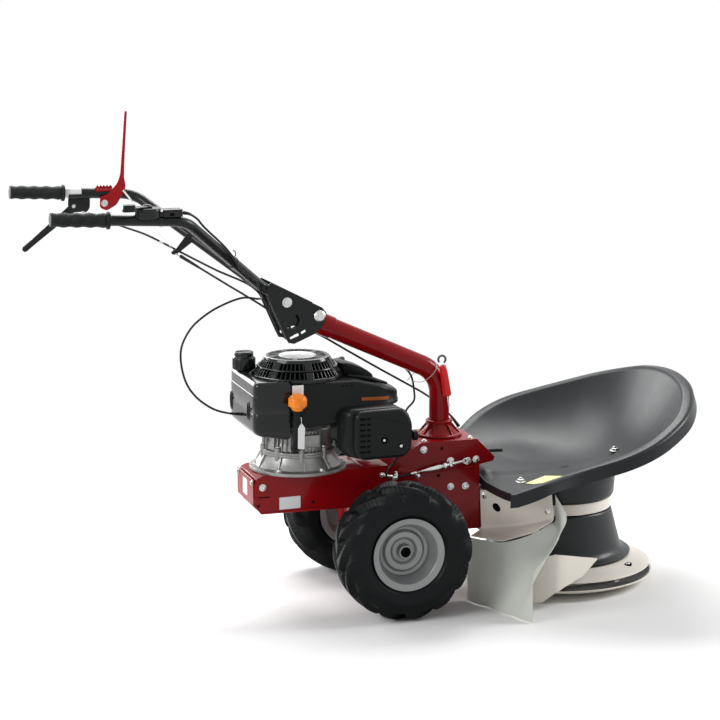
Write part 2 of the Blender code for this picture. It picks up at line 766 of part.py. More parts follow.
def engine_low():
    floor = CHASSIS_TOP_Z + GAP
    top = floor + BASE_H
    base = [
        (BASE_R, floor), (BASE_R, floor + BASE_FLANGE), (BASE_R - 0.013, floor + 0.010),
        (SEAM_R - 0.004, top - 0.006), (SEAM_R, top - 0.005), (SEAM_R, top),
        (SEAM_R - 0.012, top), (SEAM_R - 0.012, top - 0.010), (BASE_R - 0.020, floor + 0.006),
        (BASE_R - 0.020, floor),
    ]
    centre = (ENGINE_X, 0.0, 0.0)
    add("engine_base", placed(turned(base, 20), centre), CAST)
    low = top + GAP
    high = low + CRANKCASE_H
    skin = 0.006
    case = [
        (CRANK_R + SEAT, low), (SEAM_R, low), (SEAM_R, low + 0.005), (CRANKCASE_R, low + 0.009),
        (CRANKCASE_R, high), (CRANK_R + SEAT, high),
        (CRANK_R + SEAT, high - skin), (CRANKCASE_R - skin, high - skin),
        (CRANKCASE_R - skin, low + skin), (CRANK_R + SEAT, low + skin),
    ]
    crankcase = add("crankcase", placed(turned(case, 18), centre), CAST)
    start = ENGINE_X + CRANKCASE_R - 0.012
    fins = [(0.0, start), (CYLINDER_R, start)]
    first = ENGINE_X + SEAM_R + 0.003
    for k in range(FINS):
        at = first + k * FIN_PITCH
        fins += [(CYLINDER_R, at), (FIN_R, at), (FIN_R, at + FIN_T), (CYLINDER_R, at + FIN_T)]
    head = first + FINS * FIN_PITCH
    fins += [(CYLINDER_R, head), (FIN_R - 0.004, head), (FIN_R - 0.004, head + 0.036), (0.0, head + 0.036)]
    cut(crankcase, placed(rod(CYLINDER_R + SEAT, 0.0, 0.060, 12), (start - 0.010, 0.0, CYLINDER_Z), (1, 0, 0)))
    add("cylinder", placed(turned(fins, 12), (0.0, 0.0, CYLINDER_Z), (1, 0, 0)), CAST)


def crank():
    pivot = (ENGINE_X, 0.0, BELT_Z)
    low = BELT_Z - PULLEY_W / 2
    top = FLYWHEEL_Z + FLYWHEEL_T
    profile = [
        (0.0, top + 0.008), (CRANK_R, top + 0.008), (CRANK_R, top), (FLYWHEEL_R, top),
        (FLYWHEEL_R, FLYWHEEL_Z), (FLYWHEEL_R - 0.012, FLYWHEEL_Z),
        (FLYWHEEL_R - 0.014, FLYWHEEL_Z + 0.014), (CRANK_R + 0.006, FLYWHEEL_Z + 0.014),
        (CRANK_R, FLYWHEEL_Z - 0.004), (CRANK_R, low), (0.0, low),
    ]
    add("crankshaft", placed(turned(profile, 14), (ENGINE_X, 0.0, 0.0)), STEEL, pivot)
    pulley("drive_pulley", DRIVE_PULLEY_R, ENGINE_X, IRON, CRANK_R + 0.0005)
    pulley("driven_pulley", DRIVEN_PULLEY_R, WORM_X, IRON)


def cowl_outline(radius):
    """Plan of the cowl: a round back that runs forward over the cylinder."""
    back = arc((ENGINE_X, 0.0), radius, 90, 270, 11)
    pinch = COWL_R - radius
    right = [
        (-0.085, -0.108 + pinch), (0.000, -0.098 + pinch),
        (COWL_FRONT_X - 0.016 - pinch, -0.074 + pinch), (COWL_FRONT_X - pinch, -0.046 + pinch),
    ]
    left = [(x, -y) for x, y in reversed(right)]
    return back + right + left


def cowl_top(x, drop=0.0):
    share = min(1.0, max(0.0, (x - (ENGINE_X + COWL_R)) / (COWL_FRONT_X - ENGINE_X - COWL_R)))
    return COWL_TOP_Z - (COWL_TOP_Z - COWL_FRONT_TOP_Z) * share ** 1.3 - drop


def cowl_low(x):
    share = min(1.0, max(0.0, (x + 0.125) / 0.090))
    return COWL_LOW_Z + (COWL_FRONT_LOW_Z - COWL_LOW_Z) * share


def engine_cowl():
    def ring(radius, height):
        return [(x, y, height(x)) for x, y in cowl_outline(radius)]

    rings = [
        ring(COWL_R, cowl_low),
        ring(COWL_R, lambda x: cowl_top(x, 0.016)),
        ring(COWL_R - 0.005, lambda x: cowl_top(x, 0.004)),
        ring(COWL_R - 0.014, cowl_top),
        ring(COWL_R - 0.060, cowl_top),
        ring(COWL_R - 0.060, lambda x: cowl_top(x, COWL_WALL)),
        ring(COWL_R - 0.014 - COWL_WALL, lambda x: cowl_top(x, COWL_WALL)),
        ring(COWL_R - COWL_WALL, lambda x: cowl_top(x, 0.018)),
        ring(COWL_R - COWL_WALL, cowl_low),
    ]
    add("engine_cowl", skin(rings), COWL)


def starter():
    low = COWL_TOP_Z + GAP
    top = low + STARTER_H
    wall = STARTER_WALL
    profile = [
        (0.0, top), (STARTER_TOP_R - 0.004, top), (STARTER_TOP_R, top - 0.003),
        (STARTER_R - 0.005, low + 0.009), (STARTER_R, low + 0.008), (STARTER_R, low),
        (STARTER_R - 0.014, low), (STARTER_TOP_R - 0.004, top - 0.005 - wall), (0.0, top - wall),
    ]
    add("starter_housing", placed(turned(profile, 22), (ENGINE_X, 0.0, 0.0)), COWL)
    return top


def grip_and_rope():
    """Starter handle with the rope's end, which goes down through a hole in the cowl."""
    x, y = -0.066, 0.030
    z = cowl_top(x) + 0.004
    direction = Vector((0.25, 0.45, 0.857)).normalized()
    handle = add("starter_grip", placed(rod(0.0075, -0.017, 0.017, 10), Vector((x, y, z)) + direction * 0.016,
                                       (0.9, -0.43, 0.0)), COWL, (x, y, z))
    fuse(handle, placed(rod(0.0022, -0.022, 0.014, 8), (x, y, z), direction))
    fuse(handle, placed(rod(0.0055, 0.001, 0.014, 8), (x, y, z), direction))
    hole = placed(rod(0.0034, -0.030, 0.010, 8), (x, y, z), direction)
    cut(bpy.data.objects["engine_cowl"], hole)


def fuel_tank():
    hug = COWL_R + 0.0012
    lean = math.degrees(math.acos((TANK_END_X - ENGINE_X) / hug))
    inner = arc((ENGINE_X, 0.0), hug, lean, 360 - lean, 13)
    outline = inner + [(TANK_END_X, TANK_RIGHT_Y), (-0.300, TANK_RIGHT_Y)]
    outline += arc((TANK_REAR_X + 0.020, TANK_RIGHT_Y + 0.026), 0.020, -110, -180, 4)
    outline += arc((TANK_REAR_X + 0.034, TANK_LEFT_Y - 0.034), 0.034, 180, 90, 5)
    outline += [(TANK_END_X, TANK_LEFT_Y)]
    heights = ((0.010, TANK_LOW_Z), (0.0, TANK_LOW_Z + 0.014), (0.0, TANK_TOP_Z - 0.012), (0.006, TANK_TOP_Z))
    rings = []
    for shrink, z in heights:
        edge = inset(outline, shrink) if shrink else outline
        rings.append([(x, y, z + (TANK_REAR_RISE if z < TANK_TOP_Z - 0.03 else 0.0)
                       * min(1.0, (TANK_END_X - x) / (TANK_END_X - TANK_REAR_X))) for x, y in edge])
    tank = add("fuel_tank", skin(rings, closed=False), COWL)
    neck = rod(NECK_R, TANK_TOP_Z - 0.010, TANK_TOP_Z + NECK_H, 14)
    fuse(tank, placed(neck, (NECK_X, NECK_Y, 0.0)))
    core = [(TANK_REAR_X + TANK_WALL, -0.085), (NECK_X + 0.004, -0.085), (NECK_X + 0.004, 0.050),
            (NECK_X + 0.018, 0.090), (NECK_X - 0.008, 0.104), (TANK_REAR_X + TANK_WALL, 0.085)]
    cut(tank, prism(core, TANK_LOW_Z + TANK_REAR_RISE + TANK_WALL, TANK_TOP_Z - TANK_WALL))
    bore = rod(NECK_R - 0.005, TANK_TOP_Z - 0.020, TANK_TOP_Z + NECK_H + 0.010, 12)
    cut(tank, placed(bore, (NECK_X, NECK_Y, 0.0)))
    low = TANK_TOP_Z + 0.001
    top = low + CAP_H
    profile = [
        (0.0, top), (CAP_R - 0.006, top), (CAP_R, top - 0.005), (CAP_R, low),
        (NECK_R + SEAT, low), (NECK_R + SEAT, TANK_TOP_Z + NECK_H + 0.001),
        (0.0, TANK_TOP_Z + NECK_H + 0.001),
    ]
    add("fuel_cap", placed(turned(profile, 16), (NECK_X, NECK_Y, 0.0)), COWL, (NECK_X, NECK_Y, top))


def oil_filler():
    low_z = CHASSIS_TOP_Z + BASE_H + 0.020
    way = Vector((-0.34, -0.94, 0.0)).normalized()
    start = Vector((ENGINE_X, 0.0, low_z)) + way * (CRANKCASE_R + 0.0015)
    knee = start + way * 0.020
    turn_z = Vector((-0.236, -0.122, low_z + 0.034))
    top = Vector((-0.237, -0.137, 0.507))
    path = [start, knee, turn_z, top]
    add("oil_filler_tube", swept(path, FILLER_R, 10, FILLER_R - 0.002), COWL)
    axis = (top - turn_z).normalized()
    base = top + axis * GAP
    profile = [
        (0.0, OIL_CAP_H), (OIL_CAP_R * 0.55, OIL_CAP_H - 0.001), (OIL_CAP_R * 0.92, OIL_CAP_H * 0.75),
        (OIL_CAP_R, OIL_CAP_H * 0.5), (OIL_CAP_R * 0.9, OIL_CAP_H * 0.22), (OIL_CAP_R * 0.6, 0.0), (0.0, 0.0),
    ]
    add("oil_cap", placed(turned(profile, 14), base, axis), ORANGE, tuple(base))


def air_filter():
    """Box on the right of the engine; its rear corner leans back towards the engine."""
    low, high = FILTER_LOW_Z, FILTER_TOP_Z
    rear, front = FILTER_REAR_X, FILTER_FRONT_X
    outline = [
        (rear, low + 0.022), (rear + 0.018, low), (front - 0.020, low + 0.002),
        (front - 0.002, low + 0.020), (front, high - 0.040), (front - 0.012, high - 0.010),
        (front - 0.030, high), (rear + 0.014, high - 0.002), (rear, high - 0.014),
    ]

    def leant(shape, back):
        return [(x - back * (front - x) / (front - rear), z) for x, z in shape]

    y0, y1 = FILTER_FACE_Y, FILTER_BACK_Y
    levels = ((inset(outline, 0.010), y0), (inset(outline, 0.003), y0 + 0.005), (outline, y0 + 0.014),
              (leant(outline, FILTER_LEAN), y0 + 0.052), (leant(outline, FILTER_LEAN), y1))
    box = add("air_filter_box", skin([[(x, y, z) for x, z in shape] for shape, y in levels], False), COWL)
    inner = inset(outline, 0.012)
    cut(box, prism(inner, y0 + 0.007, y1 - 0.006, "Y"))
    mouth = along_y(rod(CARB_R - 0.004, -0.020, 0.010, 12), (CARB_X, y1, CYLINDER_Z))
    cut(box, mouth)
    near = -(FIN_R + 0.0006)
    far = y1 + GAP
    length = near - far
    throat = [
        (CARB_R, 0.0), (CARB_R, 0.010), (CARB_R - 0.003, 0.012), (CARB_R - 0.003, length - 0.012),
        (CARB_R + 0.004, length - 0.010), (CARB_R + 0.004, length),
        (CARB_R - 0.008, length), (CARB_R - 0.008, 0.0),
    ]
    add("carburettor", along_y(turned(throat, 14), (CARB_X, far, CYLINDER_Z)), CAST)


def silencer():
    low = (MUFFLER_REAR_X, MUFFLER_NEAR_Y, MUFFLER_LOW_Z)
    high = (MUFFLER_FRONT_X, MUFFLER_FAR_Y, MUFFLER_TOP_Z)
    shell = add("muffler", block(low, high), IRON)
    bevelled(shell, 0.010, 2)
    wall = 0.012
    cut(shell, block([c + wall for c in low], [c - wall for c in high]))
    near = FIN_R + 0.0006
    pipe = rod(EXHAUST_R, 0.0, MUFFLER_NEAR_Y + 0.004 - near, 12)
    fuse(shell, along_y(pipe, (CARB_X, near, CYLINDER_Z)))
    hole = rod(EXHAUST_R - 0.004, -0.010, MUFFLER_NEAR_Y + 0.030 - near, 10)
    cut(shell, along_y(hole, (CARB_X, near, CYLINDER_Z)))
    tail = rod(0.006, -0.020, 0.010, 8)
    cut(shell, placed(tail, (high[0], (low[1] + high[1]) / 2, low[2] + 0.024), (1, 0, 0)))


# Steering column

def column_line():
    """Corner, upper end and slope direction of the column's centre line."""
    corner = Vector((COLUMN_X, 0.0, COLUMN_CORNER_Z))
    slope = Vector((-math.cos(COLUMN_SLOPE), 0.0, math.sin(COLUMN_SLOPE)))
    return corner, corner + slope * COLUMN_RUN, slope


def column():
    pivot = (COLUMN_X, 0.0, HOOD_TOP_Z)
    floor = HOOD_TOP_Z + GAP
    bore = COLUMN_R + 0.001
    ring = [
        (bore, floor), (BASE_FLANGE_R, floor), (BASE_FLANGE_R, floor + 0.006),
        (BASE_FLANGE_R - 0.008, floor + 0.007), (BASE_NECK_R + 0.002, floor + BASE_NECK_H - 0.012),
        (BASE_NECK_R + 0.002, floor + BASE_NECK_H), (bore, floor + BASE_NECK_H),
    ]
    add("column_base", placed(turned(ring, 24), (COLUMN_X, 0.0, 0.0)), RED)
    corner, end, slope = column_line()
    foot = Vector((COLUMN_X, 0.0, floor + 0.002))
    path = filleted([foot, corner, end], [COLUMN_BEND_R], 5)
    tube = add("column_tube", swept(path, COLUMN_R, 12, COLUMN_R - COLUMN_WALL), RED, pivot)
    eye_half = PLATE_IN_Y - GAP
    fuse(tube, along_y(rod(EYE_R, -eye_half, eye_half, 16), (PIVOT_X, 0.0, PIVOT_Z)))
    cut(tube, along_y(rod(PIVOT_BOLT_R + RUN, -0.060, 0.060, 14), (PIVOT_X, 0.0, PIVOT_Z)))
    sleeve_low, sleeve_top = PIN_SLEEVE_LOW_Z, PIN_SLEEVE_TOP_Z
    low = Vector((PIN_X + 0.006, PIN_Y, sleeve_low))
    high = Vector((PIN_X - 0.006, PIN_Y, sleeve_top))
    way = (high - low).normalized()
    length = (high - low).length
    barrel = [(0.0, length), (PIN_SLEEVE_R - 0.001, length), (PIN_SLEEVE_R, 0.0), (0.0, 0.0)]
    fuse(tube, placed(turned(barrel, 12), low, way))
    web_low = low + way * 0.012
    web_high = (web_low.x + 0.004, -COLUMN_R + 0.006, web_low.z + 0.040)
    fuse(tube, block((web_low.x - 0.006, PIN_Y, web_low.z), web_high))
    cut(tube, placed(rod(PIN_R + 0.0011, -0.010, length + 0.010, 10), low, way))
    loop_at = high + way * 0.016
    stem_top = loop_at + Vector((0.0, 0.0, -PIN_LOOP_R))
    loop = [low - way * 0.030, high, stem_top + Vector((0.0, 0.0, -0.001))]
    for k in range(10):
        a = math.radians(-60 + 280 * k / 9)
        loop.append(loop_at + Vector((PIN_LOOP_R * math.cos(a), 0.0, PIN_LOOP_R * math.sin(a))))
    add("lock_pin", swept(loop, PIN_R, 6), STEEL, tuple(low))


def bracket_outline():
    return [
        (-0.274, 0.800), (-0.147, 0.734), (-0.137, 0.722), (-0.136, 0.708), (-0.145, 0.690),
        (-0.165, 0.671), (-0.200, 0.656), (-0.218, 0.649), (-0.232, 0.652), (-0.239, 0.666),
        (-0.281, 0.761), (-0.284, 0.792),
    ]


def bracket(side, word):
    low, high = sorted((side * PLATE_IN_Y, side * (PLATE_IN_Y + PLATE_T)))
    pivot = (PIVOT_X, 0.0, PIVOT_Z)
    plate = add(f"bracket_plate_{word}", prism(bracket_outline(), low, high, "Y"), BLACK, pivot)
    span = (side * (PLATE_IN_Y - 0.010), side * (PLATE_IN_Y + 0.015))
    reach = sorted(span)
    cut(plate, along_y(rod(PIVOT_BOLT_R + GAP, reach[0], reach[1], 14), (PIVOT_X, 0.0, PIVOT_Z)))
    middle = (-0.2235, 0.706)
    outer = arc(middle, 0.0205, 50, -120, 8)
    inner = arc(middle, 0.0135, -120, 50, 8)
    cut(plate, prism(outer + inner, reach[0], reach[1], "Y"))
    slot = [(-0.227, 0.660), (-0.205, 0.668), (-0.207, 0.675), (-0.229, 0.667)]
    cut(plate, prism(slot, reach[0], reach[1], "Y"))
    small = [(-0.199, 0.671), (-0.188, 0.677), (-0.190, 0.683), (-0.201, 0.677)]
    cut(plate, prism(small, reach[0], reach[1], "Y"))


def handle_path(side):
    return filleted(
        [
            (GRIP_END_X + 0.008, side * HANDLE_HALF_W, HANDLE_Z),
            (HANDLE_BEND_X, side * HANDLE_HALF_W, HANDLE_BEND_Z),
            (HANDLE_LOW_X, side * HANDLE_TIP_Y, HANDLE_LOW_Z),
            (HANDLE_TIP_X, side * HANDLE_TIP_Y, HANDLE_TIP_Z),
        ],
        [0.070, 0.030], 3,
    )


def bar_z(x):
    """Height of the bars' centre line on their level run."""
    start = GRIP_END_X + 0.008
    return HANDLE_Z + (HANDLE_BEND_Z - HANDLE_Z) * (x - start) / (HANDLE_BEND_X - start)


def slope_z(x):
    """Height of the bars' centre line on their slope."""
    return HANDLE_BEND_Z + (HANDLE_LOW_Z - HANDLE_BEND_Z) * (x - HANDLE_BEND_X) / (HANDLE_LOW_X - HANDLE_BEND_X)


def spread(share):
    """Distance from the middle plane: 0 where the bars meet the brackets, 1 at the grips."""
    return HANDLE_TIP_Y + (HANDLE_HALF_W - HANDLE_TIP_Y) * share


def bar_way():
    start = GRIP_END_X + 0.008
    return Vector((HANDLE_BEND_X - start, 0.0, HANDLE_BEND_Z - HANDLE_Z)).normalized()


def handlebar(side, word):
    pivot = (PIVOT_X, 0.0, PIVOT_Z)
    tube = add(f"handle_tube_{word}", swept(handle_path(side), TUBE_R, 8, TUBE_R - TUBE_WALL), BLACK, pivot)
    if side > 0:
        corners = [
            (-0.4080, 0.0000), (-0.4330, -0.0005), (-0.4374, -0.0108), (-0.4610, -0.0606), (-0.4736, -0.0789),
            (-0.4719, -0.0830), (-0.4630, -0.0778), (-0.4504, -0.0594), (-0.4234, -0.0176),
        ]
        arm = [(x, slope_z(x) + lift) for x, lift in corners]
        fuse(tube, prism(arm, spread(CABLE_ARM_SHARE), spread(CABLE_ARM_SHARE) + CABLE_ARM_T, "Y"))
    way = bar_way()
    base = Vector((GRIP_END_X, side * HANDLE_HALF_W, HANDLE_Z + 0.0001))
    bore = TUBE_R + SEAT
    profile = [
        (0.0, 0.0), (GRIP_R - 0.002, 0.0), (GRIP_R, 0.003), (GRIP_R - 0.001, GRIP_LEN - 0.008),
        (GRIP_R + 0.003, GRIP_LEN - 0.006), (GRIP_R + 0.003, GRIP_LEN), (bore, GRIP_LEN),
        (bore, 0.007), (0.0, 0.007),
    ]
    add(f"grip_{word}", placed(turned(profile, 12), base, way), GRIP, pivot)


def handle_bolt():
    out = PLATE_IN_Y + PLATE_T + GAP
    profile = [
        (0.0, out + PIVOT_HEAD_T), (PIVOT_HEAD_R * 0.7, out + PIVOT_HEAD_T), (PIVOT_HEAD_R, out + 0.003),
        (PIVOT_HEAD_R, out), (PIVOT_BOLT_R, out), (PIVOT_BOLT_R, -out), (PIVOT_HEAD_R, -out),
        (PIVOT_HEAD_R, -out - 0.003), (PIVOT_HEAD_R * 0.7, -out - PIVOT_HEAD_T), (0.0, -out - PIVOT_HEAD_T),
    ]
    pivot = (PIVOT_X, 0.0, PIVOT_Z)
    add("handle_pivot_bolt", along_y(turned(profile, 12), pivot), STEEL, pivot)


# Controls

def throttle():
    y = -HANDLE_HALF_W
    low = bar_z(THROTTLE_X) - 0.004
    puck = turned(
        [(0.0, THROTTLE_TOP_Z), (THROTTLE_R - 0.003, THROTTLE_TOP_Z), (THROTTLE_R, THROTTLE_TOP_Z - 0.003),
         (THROTTLE_R, low), (0.0, low)], 20)
    housing = add("throttle_housing", placed(puck, (THROTTLE_X, y, 0.0)), BLACK)
    fuse(housing, block((THROTTLE_X, y - 0.016, low), (THROTTLE_BOX_X, y + 0.016, THROTTLE_TOP_Z - 0.004)))
    cut(housing, swept(handle_path(-1.0), TUBE_R + SEAT, 10))
    hub = arc((THROTTLE_X, y), 0.012, -40, 130, 7)
    tip = Vector((-0.677, -0.306))
    lever = [(tip.x - 0.004, tip.y + 0.006), (tip.x - 0.006, tip.y - 0.006), (tip.x + 0.008, tip.y - 0.008)]
    outline = hub + [(THROTTLE_X - 0.009, y + 0.008)] + lever + [(THROTTLE_X + 0.002, y - 0.012)]
    low = THROTTLE_TOP_Z + GAP
    add("throttle_lever", prism(outline, low, low + THROTTLE_LEVER_T), BLACK, (THROTTLE_X, y, low))


def clutch():
    y = HANDLE_HALF_W
    way = bar_way()
    clamp = rod(TUBE_R + 0.0045, 0.0, 0.014, 10, TUBE_R + SEAT)
    at = Vector((-0.697, y, bar_z(-0.697)))
    holder = add("clutch_bracket", placed(clamp, at, way), BLACK)
    fuse(holder, placed(clamp, at + way * 0.036, way))
    plate = [(-0.699, bar_z(-0.699) - TUBE_R - 0.002), (-0.645, bar_z(-0.645) - TUBE_R - 0.002),
             (-0.648, 0.957), (-0.668, 0.949), (-0.699, 0.947)]
    fuse(holder, prism(plate, y - 0.002, y + 0.002, "Y"))
    fuse(holder, along_y(rod(0.0035, 0.0, 0.011, 10), (CLUTCH_X, y, CLUTCH_Z)))
    low = y + 0.002 + GAP
    line = Vector((CLUTCH_TIP_X - CLUTCH_X, CLUTCH_TIP_Z - CLUTCH_Z))
    along = line.normalized()
    across = Vector((-along.y, along.x)) * CLUTCH_BAR_W / 2
    hub = arc((CLUTCH_X, CLUTCH_Z), 0.011, 310, 130, 7)
    tip = Vector((CLUTCH_TIP_X, CLUTCH_TIP_Z))
    nose = tip + along * 0.003
    bar = [tuple(tip - across), tuple(nose - across * 0.5), tuple(nose + across * 0.5), tuple(tip + across)]
    lever = add("clutch_lever", prism(hub + bar, low, low + CLUTCH_BAR_T, "Y"), BLACK,
                (CLUTCH_X, y, CLUTCH_Z))
    hole = rod(0.0035 + SEAT, -0.010, 0.030, 10)
    cut(lever, along_y(hole, (CLUTCH_X, y, CLUTCH_Z)))


def red_lever():
    low = HANDLE_HALF_W - RED_LEVER_IN
    high = low + RED_LEVER_T
    outline = [
        (-0.624, 0.958), (-0.602, 0.950), (-0.566, 0.992), (-0.559, 1.010), (-0.568, 1.036),
        (RED_TIP_X + 0.003, RED_TIP_Z), (RED_TIP_X - 0.003, RED_TIP_Z), (-0.580, 1.040),
        (-0.588, 1.020), (-0.606, 0.996), (-0.624, 0.981),
    ]
    pivot = (RED_PIVOT_X, low, RED_PIVOT_Z)
    lever = add("red_lever", prism(outline, low, high, "Y"), RED, pivot)
    cut(lever, along_y(rod(0.0035 + SEAT, -0.010, 0.010, 10), pivot))
    y = HANDLE_HALF_W
    way = bar_way()
    at = Vector((-0.632, y, bar_z(-0.632)))
    clamp = rod(TUBE_R + 0.003, 0.0, 0.042, 10, TUBE_R + SEAT)
    holder = add("lever_mount", placed(clamp, at, way), RED)
    ear = [(-0.628, 0.957), (-0.598, 0.957), (-0.592, 0.992), (-0.630, 0.994)]
    fuse(holder, prism(ear, high + 2 * GAP, y - TUBE_R - 0.0012, "Y"))
    stud = rod(0.0035, low - 0.002, high + 0.003, 10)
    fuse(holder, along_y(stud, (RED_PIVOT_X, 0.0, RED_PIVOT_Z)))
    teeth = []
    top = bar_z(-0.61) + TUBE_R + 0.0022
    for k in range(5):
        x = -0.630 + 0.008 * k
        teeth += [(x, top + 0.002), (x + 0.001, top + 0.008), (x + 0.006, top + 0.002)]
    rack = [(-0.631, top - 0.001)] + teeth + [(-0.590, top + 0.002), (-0.590, top - 0.001)]
    fuse(holder, prism(rack, y - 0.005, y + 0.005, "Y"))


def tension_rod():
    """Rod on the right side that tightens the belt when the cable pulls it."""
    low = Vector((ROD_REAR_X, ROD_Y, ROD_REAR_Z))
    high = Vector((ROD_FRONT_X, ROD_Y, ROD_FRONT_Z))
    way = (high - low).normalized()
    length = (high - low).length
    sleeve = ROD_SLEEVE_LEN
    profile = [
        (0.0, 0.0), (0.0022, 0.0), (ROD_SLEEVE_R - 0.001, sleeve * 0.55), (ROD_SLEEVE_R, sleeve),
        (ROD_SLEEVE_R + 0.0015, sleeve + 0.001), (ROD_SLEEVE_R + 0.0015, sleeve + 0.011),
        (ROD_R, sleeve + 0.012), (ROD_R, length), (0.0, length),
    ]
    add("tension_rod", placed(turned(profile, 12), low, way), STEEL, tuple(low))


def control_cables():
    """Cables along the bars, past the height pivot, down to the tractor."""
    bar_top = TUBE_R + CABLE_R + 0.0012
    right = -HANDLE_HALF_W
    cable("throttle_cable", [
        (THROTTLE_BOX_X + CABLE_R, right, bar_z(THROTTLE_BOX_X) + bar_top + 0.001),
        (-0.5270, -spread(0.9889), 1.0035), (-0.5052, -spread(0.9356), 0.9898),
        (-0.4881, -spread(0.8548), 0.9721), (-0.4653, -spread(0.7542), 0.9513),
        (-0.4417, -spread(0.6541), 0.9314), (-0.4158, -spread(0.5810), 0.9063),
        (-0.3932, -spread(0.4973), 0.8802), (-0.3689, -spread(0.3824), 0.8498),
        (-0.3378, -spread(0.2528), 0.8245), (-0.3138, -spread(0.1531), 0.8050),
        (-0.3000, -spread(0.0862), 0.7770), (-0.2920, -0.0300, 0.7630),
        (-0.2960, -0.0100, 0.7570), (-0.3310, 0.0000, 0.7600), (-0.3913, 0.0000, 0.7410),
        (-0.4332, 0.0000, 0.7167), (-0.4633, 0.0000, 0.6890), (-0.4860, 0.0000, 0.6410),
        (-0.4780, 0.0000, 0.5700), (-0.4530, 0.0000, 0.5270), (-0.4100, 0.0000, 0.4930),
        (-0.3740, 0.0000, 0.4800), (TANK_REAR_X - GAP * 2, 0.0000, 0.4750),
    ])
    cable("clutch_cable", [
        (-0.6520, HANDLE_HALF_W, 0.9420), (-0.6050, spread(0.9848), 0.9240), (-0.5689, spread(0.9068), 0.9100),
        (-0.5239, spread(0.7099), 0.8950), (-0.4844, spread(0.5868), 0.8750), (-0.4479, spread(0.4965), 0.8550),
        (-0.3776, spread(0.2503), 0.8176), (-0.2960, spread(0.0451), 0.7774), (-0.2620, 0.0180, 0.7350),
        (-0.2250, 0.0100, 0.6950), (-0.1750, 0.0160, 0.6635), (-0.1270, 0.0245, 0.6595),
        (-0.0073, 0.0240, 0.6070), (0.0527, 0.0236, 0.5795), (0.0760, 0.0150, 0.5620),
        (0.0905, 0.0000, 0.5480), (0.0977, -0.0200, 0.5190), (0.0860, -0.0300, 0.4926),
        (0.0680, -0.0420, 0.4650), (0.0580, -0.0650, 0.4250), (0.0400, -0.0840, 0.3720),
        (0.0120, -0.0890, 0.3350), (0.0050, -0.0880, 0.3180), (0.0200, -0.0868, 0.3095),
        (0.0450, -0.0866, 0.3130), (0.0885, ROD_Y, 0.3200),
    ])
    cable("drive_cable", [
        (-0.4515, spread(CABLE_ARM_SHARE), 0.8470), (-0.3642, spread(0.1888), 0.7898),
        (-0.2757, 0.0150, 0.7327),
        (-0.2250, -0.0050, 0.6820), (-0.1800, -0.0080, 0.6560), (-0.1215, -0.0040, 0.6420),
        (-0.0022, 0.0000, 0.5739), (0.0900, 0.0080, 0.5220), (0.1280, 0.0250, 0.4960),
        (0.1500, 0.0450, 0.4720), (0.1920, 0.0540, 0.4340), (0.2320, 0.0500, 0.4050),
        (0.2400, 0.0450, 0.3960),
    ])


# Mower

def rim_curve(count):
    """Evenly spaced points on the deck's rim from the right rear corner round the front."""
    nose_x, _, nose_z = RIM_STATIONS[-1]
    tip = (nose_x + 0.003, 0.0, nose_z + 0.002)
    right = [(x, -w, z) for x, w, z in RIM_STATIONS]
    return smooth_path(right + [tip] + list(RIM_STATIONS)[::-1], count)


def rim_ring():
    """The whole rim as one ring of points, and which of them lie on the straight rear edge."""
    front = rim_curve(29)
    corner = front[0]
    rear = np.linspace(0.0, 1.0, 11)[1:-1]
    edge = np.stack([
        np.full(rear.size, DECK_REAR_X),
        corner[1] * (2.0 * rear - 1.0),
        DECK_FLOOR_Z + (corner[2] - DECK_FLOOR_Z) * np.abs(1.0 - 2.0 * rear) ** 3,
    ], axis=1)
    is_rear = np.arange(len(front) + len(edge)) >= len(front)
    return np.concatenate([front, edge]), is_rear


def deck_height(x, y, share, rim_z):
    """Top of the deck: a dish that climbs towards the rim, with a raised spine at the rear."""
    dish = DECK_FLOOR_Z + (rim_z - DECK_FLOOR_Z) * share ** 3.0
    back = np.clip((RIDGE_END_X - x) / (RIDGE_END_X - DECK_REAR_X), 0.0, 1.0)
    width = RIDGE_HALF_W * (0.25 + 0.75 * back)
    return dish + RIDGE_H * back * np.exp(-((y / width) ** 4)) * np.where(share < 1.0, 1.0, 0.6)


def deck_top(x, y):
    """Height of the deck's top at one place, from the spoke that passes through it."""
    ring, _ = rim_ring()
    best = DECK_FLOOR_Z
    for one, two in zip(ring, np.roll(ring, -1, axis=0)):
        a, b = one[:2] - (DRUM_X, 0.0), two[:2] - (DRUM_X, 0.0)
        share = np.linalg.solve(np.stack([a, b], axis=1), (x - DRUM_X, y))
        if min(share) >= 0.0:
            total = share.sum()
            best = deck_height(x, y, total, (share @ (one[2], two[2])) / total)
    return float(best)


